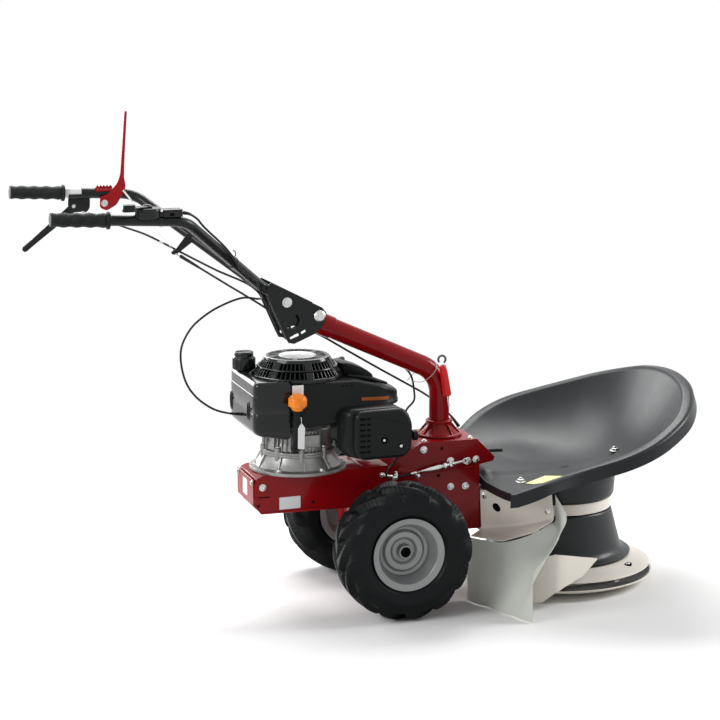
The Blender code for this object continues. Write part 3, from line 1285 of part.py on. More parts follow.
def deck():
    """Dish: spokes run from the drum axis to the rim, then over the lip and back below."""
    rim, is_rear = rim_ring()
    centre = np.array([DRUM_X, 0.0, DECK_FLOOR_Z])
    outward = np.roll(rim, -1, axis=0) - np.roll(rim, 1, axis=0)
    outward = np.stack([outward[:, 1], -outward[:, 0], np.zeros(len(rim))], axis=1)
    outward /= np.linalg.norm(outward, axis=1)[:, None]
    outward[is_rear] = (-1.0, 0.0, 0.0)
    steps = (0.05, 0.48, 0.70, 0.87, 1.0)
    rows = []
    for share in steps:
        row = centre + (rim - centre) * share
        row[:, 2] = deck_height(row[:, 0], row[:, 1], share, rim[:, 2])
        rows.append(row)
    forward = (rim[:, 0] - DECK_REAR_X) / (DRUM_X - DECK_REAR_X)
    out = np.where(is_rear, 0.002, DECK_LIP_OUT * np.minimum(1.0, 0.7 + 0.3 * forward))
    down = np.where(is_rear, DECK_REAR_LIP, DECK_LIP_DOWN)
    last_front = np.count_nonzero(~is_rear) - 1
    out[[0, last_front]] = 0.010
    lip = rows[-1] + outward * out[:, None]
    lip[:, 2] = rim[:, 2] - down
    roll = rows[-1] + outward * (out * 0.45)[:, None]
    roll[:, 2] = rows[-1][:, 2] - 0.002
    inward = -outward * DECK_T
    under = [lip + inward + (0.0, 0.0, GAP), roll + inward - (0.0, 0.0, DECK_T)]
    for row, share in zip(rows[-2::-1], steps[-2::-1]):
        under.append(row + inward * share ** 4 - (0.0, 0.0, DECK_T))
    add("mower_deck", skin(rows + [roll, lip] + under), DECK)


def drum():
    pivot = (DRUM_X, 0.0, 0.0)
    under = DECK_FLOOR_Z - DECK_T - GAP
    skin = HOUSING_WALL
    housing = [
        (HOUSING_R, under), (HOUSING_R - 0.004, BAND_TOP_Z), (BAND_R, BAND_TOP_Z),
        (BAND_R, BAND_LOW_Z), (BAND_R - skin, BAND_LOW_Z), (BAND_R - skin, BAND_TOP_Z + 0.004),
        (HOUSING_R - skin - 0.003, under - skin), (SHAFT_R + SEAT, under - skin), (SHAFT_R + SEAT, under),
    ]
    top = add("drum_housing", placed(turned(housing, 20), pivot), DECK)
    half = MOUNT_HALF_W + 0.0005
    rear, front = DRUM_X - HOUSING_R - 0.010, DRUM_X - 0.100
    cut(top, block((rear, -half, MOUNT_LOW_Z - 0.0005), (front, half, MOUNT_TOP_Z + 0.0005)))
    wall = DRUM_WALL
    cone = [
        (DRUM_TOP_R, DRUM_TOP_Z), (0.1445, 0.1635), (0.1506, 0.1372), (0.1600, 0.1050), (0.1680, 0.0850),
        (DRUM_FLARE_R, DRUM_FLARE_Z), (DRUM_FLARE_R, DRUM_FLARE_Z - wall),
        (0.1655, 0.0815), (0.1572, 0.1030), (0.1477, 0.1360), (0.1415, 0.1620),
        (DRUM_TOP_R - wall, DRUM_TOP_Z - wall), (SHAFT_R + GAP, DRUM_TOP_Z - wall), (SHAFT_R + GAP, DRUM_TOP_Z),
    ]
    add("drum_cone", placed(turned(cone, 24), pivot), DECK, pivot)
    thick = DISC_T
    disc = [
        (0.168, DISC_TOP_Z), (0.205, DISC_TOP_Z - 0.008), (DISC_R, DISC_EDGE_Z), (DISC_R, DISC_EDGE_Z - 0.003),
        (0.205, DISC_TOP_Z - 0.008 - thick), (0.168, DISC_TOP_Z - thick),
        (SHAFT_R + GAP, DISC_TOP_Z - thick), (SHAFT_R + GAP, DISC_TOP_Z),
    ]
    plate = add("cutting_disc", placed(turned(disc, 24), pivot), CREAM, pivot)
    shaft = rod(SHAFT_R, 0.030, under - skin + 0.002, 14)
    add("drum_shaft", placed(shaft, pivot), STEEL, pivot)
    skid = [
        (0.0, SKID_T), (0.110, SKID_T), (0.185, 0.010), (0.225, 0.020), (SKID_R, SKID_EDGE_Z),
        (SKID_R, SKID_EDGE_Z - 0.003), (0.226, 0.015), (0.186, 0.005), (0.150, 0.0), (0.0, 0.0),
    ]
    dish = add("skid_dish", placed(turned(skid, 24), pivot), CREAM, pivot)
    hub = rod(0.026, SKID_T - 0.001, 0.0525, 14)
    fuse(dish, placed(hub, pivot))
    cut(dish, placed(rod(SHAFT_R + 0.001, 0.0285, 0.070, 14), pivot))
    for k, word in enumerate(("front", "rear")):
        a = KNIFE_ANGLE + math.pi * k
        at = (DRUM_X + KNIFE_PIVOT_R * math.cos(a), KNIFE_PIVOT_R * math.sin(a), 0.0)
        top_z = DISC_TOP_Z - 0.003
        low = KNIFE_Z - 0.0045
        pin = [(0.0, top_z), (0.011, top_z), (0.011, DISC_TOP_Z - 0.0125), (KNIFE_PIN_R, DISC_TOP_Z - 0.0125),
               (KNIFE_PIN_R, KNIFE_Z - 0.0006), (0.010, KNIFE_Z - 0.0006), (0.010, low), (0.0, low)]
        fuse(plate, placed(turned(pin, 8), at))
        along = a - math.pi / 2
        ahead = np.array([math.cos(along), math.sin(along)])
        across = np.array([-ahead[1], ahead[0]])
        centre = np.array(at[:2])
        hole_end = [centre + 0.016 * (math.cos(t) * ahead + math.sin(t) * across)
                    for t in np.radians(np.linspace(90, 270, 6))]
        tip = [centre + ahead * (KNIFE_LEN - 0.006) - across * KNIFE_HALF_W,
               centre + ahead * (KNIFE_LEN + 0.004) + across * (KNIFE_HALF_W - 0.004),
               centre + ahead * (KNIFE_LEN - 0.004) + across * KNIFE_HALF_W]
        outline = [tuple(p) for p in hole_end + tip]
        knife = add(f"knife_{word}", prism(outline, KNIFE_Z, KNIFE_Z + KNIFE_T), STEEL, (at[0], at[1], KNIFE_Z))
        cut(knife, placed(rod(KNIFE_PIN_R + SEAT, KNIFE_Z - 0.010, KNIFE_Z + 0.010, 8), at))


def mower_mount():
    """Front adapter with the square tube that carries the mower."""
    x0 = CHASSIS_FRONT_X + GAP
    x1 = x0 + ADAPTER_T
    plate = block((x0, -ADAPTER_HALF_W, ADAPTER_LOW_Z), (x1, ADAPTER_HALF_W, ADAPTER_TOP_Z))
    thing = add("mower_mount", plate, RED)
    end = DRUM_X - 0.110
    half = MOUNT_HALF_W
    fuse(thing, block((x1 - 0.004, -half, MOUNT_LOW_Z), (end, half, MOUNT_TOP_Z)))
    wall = MOUNT_WALL
    hollow_low, hollow_high = MOUNT_LOW_Z + wall, MOUNT_TOP_Z - wall
    cut(thing, block((x0 - 0.010, -half + wall, hollow_low), (end + 0.010, half - wall, hollow_high)))


def skirt_line(name, share):
    """A point on one of the skirt's three edges; share runs from the chassis to the drum."""
    lines = {
        "top": ((0.2525, -0.0745), (0.330, -0.139), (0.395, -0.1890)),
        "crease": ((0.2560, -0.0770, 0.158), (0.335, -0.142, 0.176), (0.402, -0.1950, 0.198)),
        "edge": ((0.2020, -0.1480, 0.163), (0.262, -0.2080, 0.160), (0.335, -0.2260, 0.180)),
    }
    line = lines[name]
    at = share * 2
    i = min(1, int(at))
    place = np.array(line[i]) * (1 - at + i) + np.array(line[i + 1]) * (at - i)
    if name == "top":
        under_lip = DECK_FLOOR_Z - DECK_REAR_LIP - 0.007
        place = np.append(place, deck_top(*place) - DECK_T - SKIRT_PLAY if share else under_lip)
    return place


def skirt():
    """Cream folded plate behind the deck: an upright panel and a sloped lower flange."""
    rows = []
    for share in np.linspace(0.0, 1.0, 6):
        top, crease, edge = (skirt_line(name, share) for name in ("top", "crease", "edge"))
        rows.append([top, crease, (crease + edge) / 2, edge])
    rows = np.array(rows)
    lift = np.array([[0.4, 0.9, 0.0], [0.4, 1.1, 0.6], [0.0, 0.3, 0.95], [0.0, 0.3, 0.95]]) * SKIRT_T / 2
    middle = rows + lift
    half = facing(middle) * SKIRT_T / 2
    add("skirt_plate", grid_shell(middle + half, middle - half), CREAM)


def flap_grid():
    """Middle of the sheet, through hanging lines from the chassis side to the free edge."""
    hangings = [
        [(0.194, -0.151, 0.156), (0.193, -0.1505, 0.080), (0.192, -0.150, 0.003)],
        [(0.250, -0.203, 0.1535), (0.238, -0.209, 0.100), (0.222, -0.206, 0.050), (0.212, -0.205, 0.003)],
        [(0.320, -0.229, 0.1675), (0.306, -0.246, 0.138), (0.268, -0.264, 0.072), (0.238, -0.278, 0.003)],
        [(0.384, -0.198, 0.1840), (0.382, -0.238, 0.166), (0.336, -0.297, 0.130), (0.286, -0.322, 0.070),
         (0.2560, -0.332, 0.003)],
        [(0.4095, -0.184, 0.197), (0.404, -0.216, 0.179), (0.358, -0.282, 0.152), (0.305, -0.330, 0.118),
         (0.280, -0.346, 0.070), (0.2670, -0.358, 0.003)],
        [(0.4120, -0.176, 0.258), (0.4411, -0.178, 0.2015), (0.4076, -0.225, 0.1739), (0.3429, -0.310, 0.1488),
         (0.2903, -0.343, 0.115), (0.2803, -0.362, 0.0547), (0.2755, -0.376, 0.003)],
    ]
    columns, levels = 15, 8
    hung = [smooth_path(line, levels) for line in hangings]
    rows = [smooth_path([line[k] for line in hung], columns) for k in range(levels)]
    return np.stack(rows, axis=1)


def facing(grid):
    """Unit normals of a grid of points."""
    normal = np.cross(np.gradient(grid, axis=0), np.gradient(grid, axis=1))
    return normal / np.linalg.norm(normal, axis=2)[:, :, None]


def flap():
    """Grey rubber sheet that hangs from the skirt to the ground, with soft upright folds."""
    middle = flap_grid()
    half = facing(middle) * FLAP_T / 2
    half[:, -1, 2] = 0.0
    add("flap", grid_shell(middle + half, middle - half), FLAP)


def swath_plate():
    """Curved plate just outside the knives' circle, with its arm up to the skirt."""
    stations = [
        (0.5120, -0.2080, 0.0940, 0.0975), (0.4622, -0.2358, 0.0628, 0.1120),
        (0.4300, -0.2540, 0.0564, 0.1217), (0.4000, -0.2705, 0.0505, 0.1307),
        (0.3720, -0.2785, 0.0397, 0.1371), (0.3450, -0.2665, 0.0160, 0.1290),
        (0.3180, -0.2480, 0.0120, 0.0850),
    ]
    grid = np.array([[(x, y, low), (x, y, (low + top) / 2), (x, y, top)] for x, y, low, top in stations])
    half = facing(grid) * (1.0, 1.0, 0.0) * SWATH_T / 2
    plate = add("swath_plate", grid_shell(grid + half, grid - half), CREAM)
    arm = [(-0.2690, 0.1100), (-0.2080, 0.1500), (-0.1930, 0.1795), (-0.1970, 0.1795), (-0.2110, 0.1540),
           (-0.2690, 0.1150)]
    fuse(plate, prism(arm, 0.342, 0.362, "X"))


def centre_origin():
    """Move the whole machine so that its length is centred on the origin."""
    rear = min(v.co.x + o.location.x for o in (bpy.data.objects["grip_right"],) for v in o.data.vertices)
    front = max(v.co.x for v in bpy.data.objects["mower_deck"].data.vertices)
    ORIGIN.location.x = -(rear + front) / 2


def main():
    global ORIGIN
    clear_scene()
    ORIGIN = bpy.data.objects.new("machine_origin", None)
    bpy.context.scene.collection.objects.link(ORIGIN)
    chassis()
    gearbox()
    for side, word in ((-1.0, "right"), (1.0, "left")):
        wheel(side, word)
    engine_low()
    crank()
    belt()
    engine_cowl()
    starter()
    grip_and_rope()
    fuel_tank()
    oil_filler()
    air_filter()
    silencer()
    column()
    for side, word in ((-1.0, "right"), (1.0, "left")):
        bracket(side, word)
        handlebar(side, word)
    handle_bolt()
    throttle()
    clutch()
    red_lever()
    tension_rod()
    control_cables()
    deck()
    drum()
    mower_mount()
    skirt()
    flap()
    swath_plate()
    centre_origin()


main()
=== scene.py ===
"""Dressed model of a two-wheel walking tractor that carries a single-drum rotary mower.

X, Y and Z below are in metres, +X forwards, +Y to the machine's left, +Z up,
with X measured from the wheel axle; piece() moves a finished mesh by AXLE_X into the model's frame.
"""
import json
import math

import bmesh
import bpy
import numpy as np
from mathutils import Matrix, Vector


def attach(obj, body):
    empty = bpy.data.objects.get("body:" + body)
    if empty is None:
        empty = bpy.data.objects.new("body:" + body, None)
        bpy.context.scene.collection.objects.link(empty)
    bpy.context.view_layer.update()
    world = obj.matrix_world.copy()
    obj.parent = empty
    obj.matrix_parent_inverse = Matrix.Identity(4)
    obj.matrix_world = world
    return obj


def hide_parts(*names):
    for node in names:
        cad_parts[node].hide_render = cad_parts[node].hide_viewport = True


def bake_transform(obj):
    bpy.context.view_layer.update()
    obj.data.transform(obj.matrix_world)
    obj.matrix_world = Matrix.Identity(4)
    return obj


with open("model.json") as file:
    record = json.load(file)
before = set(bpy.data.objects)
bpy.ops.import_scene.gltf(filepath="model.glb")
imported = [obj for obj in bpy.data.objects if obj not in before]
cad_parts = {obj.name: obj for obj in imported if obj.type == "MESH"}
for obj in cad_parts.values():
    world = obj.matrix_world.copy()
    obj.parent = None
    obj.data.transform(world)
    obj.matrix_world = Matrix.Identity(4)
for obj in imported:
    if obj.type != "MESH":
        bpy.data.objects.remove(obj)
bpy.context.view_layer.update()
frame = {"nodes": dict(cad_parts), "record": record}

AXLE_X = 0.0128516       # the axle lies this far in front of the model's origin
UP, AHEAD = (0.0, 0.0, 1.0), (1.0, 0.0, 0.0)
LEFT, RIGHT = (0.0, 1.0, 0.0), (0.0, -1.0, 0.0)


# Camera, light and floor

CAMERA_LENS, CAMERA_SENSOR = 117.94, 36.0       # millimetres
CAMERA_AT = (-1.7544 + AXLE_X, -5.4115, 1.6753)
CAMERA_WAY = (0.2971, 0.9362, -0.1876)
SKY_COLOUR, SKY_STRENGTH = (0.96, 0.98, 1.0, 1.0), 0.3
LAMPS = {       # place, place it looks at, width and height, watts
    "left": ((-3.8, -1.1, 2.3), (-0.2, 0.0, 0.45), (2.4, 1.8), 105.0),
    "top": ((0.1, 2.0, 3.1), (0.1, 0.0, 0.3), (3.4, 1.8), 150.0),
    "right": ((3.6, -0.4, 2.2), (0.3, 0.0, 0.4), (1.4, 1.8), 105.0),
    "back": ((-1.9, 3.9, 1.3), (-0.2, 0.0, 0.5), (2.6, 1.8), 110.0),
}
FLOOR_REACH = 90.0
FLOOR_COLOUR = (0.86, 0.855, 0.85, 1.0)
FLOOR_FADE = (0.7, 1.7)     # from the first distance to the second the floor seen straight turns white


def camera():
    """The photograph's view, as fitted to both wheels, the column, the bars and the drum."""
    data = bpy.data.cameras.new("camera")
    data.lens = CAMERA_LENS
    data.sensor_width = CAMERA_SENSOR
    made = bpy.data.objects.new("camera", data)
    made.location = CAMERA_AT
    made.rotation_mode = "QUATERNION"
    made.rotation_quaternion = Vector(CAMERA_WAY).to_track_quat("-Z", "Y")
    bpy.context.scene.collection.objects.link(made)
    bpy.context.scene.camera = made


def lamp(name, place, aim, size, watts):
    """A rectangular lamp at place that faces aim."""
    data = bpy.data.lights.new(name, "AREA")
    data.shape = "RECTANGLE"
    data.size, data.size_y = size
    data.energy = watts
    made = bpy.data.objects.new(name, data)
    made.location = place
    made.rotation_mode = "QUATERNION"
    made.rotation_quaternion = (Vector(aim) - Vector(place)).to_track_quat("-Z", "Y")
    bpy.context.scene.collection.objects.link(made)


def ray_share(tree):
    """1 for camera, glossy and transmitted rays, 0 for the light that falls on the machine."""
    rays = tree.nodes.new("ShaderNodeLightPath")
    total = rays.outputs["Is Camera Ray"]
    for name in ("Is Glossy Ray", "Is Transmission Ray"):
        either = tree.nodes.new("ShaderNodeMath")
        either.operation = "ADD"
        either.use_clamp = True
        tree.links.new(total, either.inputs[0])
        tree.links.new(rays.outputs[name], either.inputs[1])
        total = either.outputs[0]
    return total


def studio():
    """A white room: what is seen of it is pure white, and its own light is soft and faint beside the four
    lamps."""
    scene = bpy.context.scene
    scene.view_settings.view_transform = "Standard"
    world = bpy.data.worlds.new("studio")
    world.use_nodes = True
    tree = world.node_tree
    tree.nodes.clear()
    soft, white, mix, out = (tree.nodes.new(kind) for kind in (
        "ShaderNodeBackground", "ShaderNodeBackground", "ShaderNodeMixShader", "ShaderNodeOutputWorld"))
    soft.inputs["Color"].default_value = SKY_COLOUR
    soft.inputs["Strength"].default_value = SKY_STRENGTH
    white.inputs["Strength"].default_value = 1.0
    white.inputs["Color"].default_value = (1.0, 1.0, 1.0, 1.0)
    tree.links.new(ray_share(tree), mix.inputs[0])
    tree.links.new(soft.outputs[0], mix.inputs[1])
    tree.links.new(white.outputs[0], mix.inputs[2])
    tree.links.new(mix.outputs[0], out.inputs["Surface"])
    scene.world = world
    for name, values in LAMPS.items():
        lamp(name, *values)


def floor():
    """A flat pale floor.  Seen straight, it turns white further out; near the machine it keeps the shadow."""
    mesh = bpy.data.meshes.new("floor")
    corners = [(x * FLOOR_REACH, y * FLOOR_REACH, 0.0) for x, y in ((-1, -1), (1, -1), (1, 1), (-1, 1))]
    mesh.from_pydata(corners, [], [(0, 1, 2, 3)])
    coat = bpy.data.materials.new("floor paper")
    coat.use_nodes = True
    tree = coat.node_tree
    tree.nodes.clear()
    place, length, span, share, paper, white, mix, out = (tree.nodes.new(kind) for kind in (
        "ShaderNodeTexCoord", "ShaderNodeVectorMath", "ShaderNodeMapRange", "ShaderNodeMath",
        "ShaderNodeBsdfDiffuse", "ShaderNodeEmission", "ShaderNodeMixShader", "ShaderNodeOutputMaterial"))
    length.operation = "LENGTH"
    share.operation = "MULTIPLY"
    span.interpolation_type = "SMOOTHERSTEP"
    span.inputs["From Min"].default_value, span.inputs["From Max"].default_value = FLOOR_FADE
    paper.inputs["Color"].default_value = FLOOR_COLOUR
    tree.links.new(place.outputs["Object"], length.inputs[0])
    tree.links.new(length.outputs["Value"], span.inputs["Value"])
    tree.links.new(span.outputs["Result"], share.inputs[0])
    tree.links.new(ray_share(tree), share.inputs[1])
    tree.links.new(share.outputs[0], mix.inputs[0])
    tree.links.new(paper.outputs[0], mix.inputs[1])
    tree.links.new(white.outputs[0], mix.inputs[2])
    tree.links.new(mix.outputs[0], out.inputs["Surface"])
    mesh.materials.append(coat)
    made = bpy.data.objects.new("floor", mesh)
    bpy.context.scene.collection.objects.link(made)


# Finishes

COAT_ROUGH = 0.08
ROUGH_SCALE = 60.0
GRAIN_DEPTH = 0.0008


def finish(name, colour, rough, metal=0.0, *, tint, play, tint_scale=9.0, grain=0.0, grain_scale=500.0,
           coat=0.0, speck=None, shine=0.5):
    """A Principled material: slow colour drift by tint, fine roughness drift by play and a grain in the bump.

    speck = (colour, share, scale) lays small spots of a second colour over the first.
    """
    made = bpy.data.materials.new(name)
    made.use_nodes = True
    tree = made.node_tree
    shader = tree.nodes["Principled BSDF"]
    shader.inputs["Metallic"].default_value = metal
    shader.inputs["Coat Weight"].default_value = coat
    shader.inputs["Coat Roughness"].default_value = COAT_ROUGH
    shader.inputs["Specular IOR Level"].default_value = shine
    place = tree.nodes.new("ShaderNodeTexCoord")

    def noise(scale, detail=3.0):
        """Noise in the object's own space, 0 to 1."""
        node = tree.nodes.new("ShaderNodeTexNoise")
        node.inputs["Scale"].default_value = scale
        node.inputs["Detail"].default_value = detail
        tree.links.new(place.outputs["Object"], node.inputs["Vector"])
        return node.outputs["Fac"]

    def mixed(factor, one, two):
        """Two colours, or sockets of colours, mixed by a factor."""
        node = tree.nodes.new("ShaderNodeMix")
        node.data_type = "RGBA"
        tree.links.new(factor, node.inputs["Factor"])
        for socket, value in ((node.inputs["A"], one), (node.inputs["B"], two)):
            if isinstance(value, tuple):
                socket.default_value = (*value, 1.0)
            else:
                tree.links.new(value, socket)
        return node.outputs["Result"]

    def spread(value, low, high, start=0.3, end=0.7):
        """A value between start and end carried over to low and high."""
        node = tree.nodes.new("ShaderNodeMapRange")
        for key, number in (("From Min", start), ("From Max", end), ("To Min", low), ("To Max", high)):
            node.inputs[key].default_value = number
        tree.links.new(value, node.inputs["Value"])
        return node.outputs["Result"]

    dark, light = (tuple(min(1.0, c * (1.0 + sign * tint)) for c in colour) for sign in (-1, 1))
    body = mixed(spread(noise(tint_scale), 0.0, 1.0), dark, light)
    if speck:
        body = mixed(spread(noise(speck[2], 6.0), 0.0, 1.0, 0.5 + speck[1], 0.56 + speck[1]), body, speck[0])
    tree.links.new(body, shader.inputs["Base Color"])
    rough_low, rough_high = max(0.02, rough - play), min(1.0, rough + play)
    tree.links.new(spread(noise(ROUGH_SCALE), rough_low, rough_high), shader.inputs["Roughness"])
    if grain:
        bump = tree.nodes.new("ShaderNodeBump")
        bump.inputs["Strength"].default_value = grain
        bump.inputs["Distance"].default_value = GRAIN_DEPTH
        tree.links.new(noise(grain_scale, 4.0), bump.inputs["Height"])
        tree.links.new(bump.outputs["Normal"], shader.inputs["Normal"])
    return made


RED = finish("red enamel", (0.24, 0.0025, 0.0045), 0.22, tint=0.07, tint_scale=5.0, play=0.04, grain=0.05,
             grain_scale=260.0, coat=0.18, shine=0.09)
LOCK_RED = finish("bright red moulding", (0.62, 0.01, 0.01), 0.28, tint=0.05, play=0.05, grain=0.03, coat=0.2,
                  shine=0.25)
LEVER_RED = finish("deep red enamel", (0.33, 0.006, 0.01), 0.34, tint=0.08, play=0.05, grain=0.05, coat=0.12,
                   shine=0.14)
BLACK = finish("black enamel", (0.006, 0.007, 0.0075), 0.33, tint=0.15, play=0.05, grain=0.06,
               grain_scale=420.0, coat=0.1, shine=0.2)
MOULDING = finish("black moulding", (0.0065, 0.0075, 0.008), 0.38, tint=0.14, play=0.06, grain=0.14,
                  grain_scale=900.0, coat=0.06, shine=0.12)
GLOSS = finish("glossy black moulding", (0.0055, 0.0065, 0.007), 0.2, tint=0.12, play=0.05, grain=0.03,
               coat=0.25, shine=0.2)
ORANGE = finish("orange moulding", (0.88, 0.24, 0.015), 0.36, tint=0.06, play=0.05, grain=0.1,
                grain_scale=700.0, shine=0.3)
STRIPE = finish("orange brown film", (0.42, 0.115, 0.025), 0.4, tint=0.12, play=0.05, shine=0.2)
TYRE = finish("tyre rubber", (0.0035, 0.0045, 0.005), 0.42, tint=0.12, tint_scale=14.0, play=0.06, grain=0.15,
              grain_scale=520.0, shine=0.13)
RIM = finish("grey enamel", (0.25, 0.26, 0.26), 0.33, 0.35, tint=0.05, play=0.05, grain=0.05,
             grain_scale=300.0, coat=0.2, shine=0.3)
CAST = finish("cast aluminium", (0.26, 0.26, 0.255), 0.44, 0.85, tint=0.14, tint_scale=22.0, play=0.1,
              grain=0.45, grain_scale=620.0, speck=((0.2, 0.2, 0.19), 0.1, 90.0))
STEEL = finish("zinc plated steel", (0.58, 0.58, 0.57), 0.26, 1.0, tint=0.08, tint_scale=40.0, play=0.1,
               grain=0.06, grain_scale=800.0)
IRON = finish("cast iron", (0.09, 0.09, 0.095), 0.58, 0.6, tint=0.18, play=0.1, grain=0.5, grain_scale=420.0)
CREAM = finish("cream enamel", (0.8, 0.75, 0.67), 0.34, tint=0.03, play=0.04, grain=0.04, grain_scale=240.0,
               coat=0.15, shine=0.3)
DECK = finish("deck moulding", (0.012, 0.0145, 0.016), 0.34, tint=0.08, tint_scale=4.0, play=0.03, grain=0.06,
              grain_scale=1100.0, shine=0.2)
DRUM = finish("dark grey enamel", (0.012, 0.0145, 0.016), 0.42, tint=0.08, play=0.04, grain=0.04,
              grain_scale=400.0, coat=0.1, shine=0.25)
FLAP = finish("grey rubber sheet", (0.56, 0.575, 0.53), 0.52, tint=0.03, tint_scale=7.0, play=0.05,
              grain=0.08, grain_scale=700.0, shine=0.25)
GRIP = finish("grip rubber", (0.009, 0.0105, 0.0105), 0.6, tint=0.12, play=0.08, grain=0.3, grain_scale=900.0,
              shine=0.22)
GRIP_END = finish("grey rubber end", (0.05, 0.053, 0.05), 0.62, tint=0.12, play=0.06, grain=0.25,
                  grain_scale=700.0, shine=0.15)
SHEATH = finish("cable sheath", (0.006, 0.0065, 0.007), 0.4, tint=0.12, play=0.06, grain=0.1,
                grain_scale=1200.0, shine=0.22)
BELT = finish("belt rubber", (0.018, 0.017, 0.016), 0.75, tint=0.25, play=0.08, grain=0.4, shine=0.2)
PALE_GREY = finish("light grey moulding", (0.42, 0.43, 0.43), 0.45, tint=0.05, play=0.05, grain=0.08,
                   shine=0.3)
WHITE = finish("white film", (0.78, 0.78, 0.77), 0.38, tint=0.02, play=0.05, shine=0.3)
SILVER = finish("silver film", (0.62, 0.63, 0.64), 0.4, 0.35, tint=0.04, play=0.04, grain=0.02)
YELLOW = finish("pale yellow film", (0.8, 0.75, 0.36), 0.4, tint=0.04, play=0.05, shine=0.3)
HOLE = finish("dark opening", (0.003, 0.003, 0.003), 0.85, tint=0.2, play=0.05, shine=0.05)
NYLON = finish("white nylon", (0.72, 0.72, 0.7), 0.42, tint=0.03, play=0.06)

FINISHES = {
    "red_enamel": RED, "black_enamel": BLACK, "black_moulding": MOULDING, "orange_moulding": ORANGE,
    "tyre_rubber": TYRE, "grey_enamel": RIM, "cast_alloy": CAST, "bright_steel": STEEL, "cast_iron": IRON,
    "cream_enamel": CREAM, "deck_moulding": DECK, "drum_enamel": DRUM, "flap_rubber": FLAP,
    "grip_rubber": GRIP, "cable_sheath": SHEATH, "belt_rubber": BELT,
}
SLOTS = {row["node"]: row["material_slot"] for row in frame["record"]["subparts"]}
BODIES = {node: body for body, nodes in frame["record"]["behaviour"]["bodies"].items() for node in nodes}


def dress_nodes():
    """Every CAD node gets the finish of its slot in the record."""
    for node, slot in SLOTS.items():
        data = frame["nodes"][node].data
        data.materials.clear()
        data.materials.append(FINISHES[slot])


# Surfaces

def lofted(rings, closed=False, caps=True):
    """Rings of points joined in order by four-sided faces; closed joins the last ring to the first."""
    rings = np.asarray(rings, float)
    rows, columns = rings.shape[:2]
    i, j = np.meshgrid(np.arange(rows if closed else rows - 1), np.arange(columns), indexing="ij")
    i, j = i.ravel(), j.ravel()
    after, beside = (i + 1) % rows, (j + 1) % columns
    quads = np.stack([i * columns + j, i * columns + beside, after * columns + beside, after * columns + j],
                     axis=1)
    faces = quads.tolist()
    if caps and not closed:
        faces.append(list(range(columns)))
        faces.append(list(range((rows - 1) * columns, rows * columns)))
    return rings.reshape(-1, 3), faces


def sheet_between(upper, lower):
    """A closed sheet between two equal grids of points."""
    rows, columns = upper.shape[:2]
    rim_rows = np.concatenate([np.zeros(columns - 1), np.arange(rows - 1), np.full(columns - 1, rows - 1),
                               np.arange(rows - 1, 0, -1)]).astype(int)
    rim_columns = np.concatenate([np.arange(columns - 1), np.full(rows - 1, columns - 1),
                                  np.arange(columns - 1, 0, -1), np.zeros(rows - 1)]).astype(int)
    i, j = (a.ravel() for a in np.meshgrid(np.arange(rows - 1), np.arange(columns - 1), indexing="ij"))
    top = np.stack([i * columns + j, i * columns + j + 1, (i + 1) * columns + j + 1, (i + 1) * columns + j],
                   axis=1)
    total = rows * columns
    rim = rim_rows * columns + rim_columns
    side = np.stack([rim, np.roll(rim, -1), total + np.roll(rim, -1), total + rim], axis=1)
    faces = np.concatenate([top, total + top[:, ::-1], side]).tolist()
    return np.concatenate([upper.reshape(-1, 3), lower.reshape(-1, 3)]), faces


def joined(*shapes):
    """Several shapes as one."""
    points, faces, total = [], [], 0
    for some, sides in shapes:
        points.append(np.asarray(some, float))
        faces += [[k + total for k in side] for side in sides]
        total += len(some)
    return np.concatenate(points), faces


def softened(corners, radius, steps, loop=True):
    """Corners cut back by radius along both edges and bridged by a parabola:
    (1-t)^2 A + 2t(1-t) C + t^2 B."""
    corners = np.asarray(corners, float)
    before, after = np.roll(corners, 1, axis=0) - corners, np.roll(corners, -1, axis=0) - corners
    lengths = [np.maximum(np.linalg.norm(edge, axis=1), 1e-9) for edge in (before, after)]
    reach = [np.minimum(np.broadcast_to(radius, len(corners)), length * 0.48) for length in lengths]
    one = corners + before / lengths[0][:, None] * reach[0][:, None]
    two = corners + after / lengths[1][:, None] * reach[1][:, None]
    t = np.linspace(0.0, 1.0, steps + 1)[None, :, None]
    bend = (1 - t) ** 2 * one[:, None] + 2 * t * (1 - t) * corners[:, None] + t ** 2 * two[:, None]
    if loop:
        return bend.reshape(-1, corners.shape[1])
    return np.concatenate([corners[:1], bend[1:-1].reshape(-1, corners.shape[1]), corners[-1:]])


def turned(profile, count, soft=0.0, steps=3):
    """A profile of radius and height carried round Z; it is a loop unless it starts and ends on the axis."""
    profile = np.asarray(profile, float)
    loop = profile[0][0] > 0.0
    if soft:
        profile = softened(profile, soft, steps, loop)
    angle = 2.0 * np.pi * np.arange(count) / count
    radius, height = profile[:, :1], profile[:, 1:]
    rings = np.stack([radius * np.cos(angle), radius * np.sin(angle), height + 0.0 * angle], axis=2)
    return lofted(rings, closed=loop, caps=False)


def aimed(shape, base, direction):
    """The shape with its +Z turned along direction and its origin moved to base."""
    turn = Vector(UP).rotation_difference(Vector(direction).normalized()).to_matrix()
    return np.asarray(shape[0]) @ np.array(turn).T + np.asarray(base, float), shape[1]


def moved(shape, by):
    """The shape shifted by a vector."""
    return np.asarray(shape[0]) + np.asarray(by, float), shape[1]


def sleeve(radius, low, high, bore=0.0, count=48, soft=0.001):
    """A round bar or, with a bore, a ring along Z, with soft edges."""
    if bore:
        return turned([(bore, low), (radius, low), (radius, high), (bore, high)], count, soft)
    return turned([(0.0, low), (radius, low), (radius, high), (0.0, high)], count, soft)


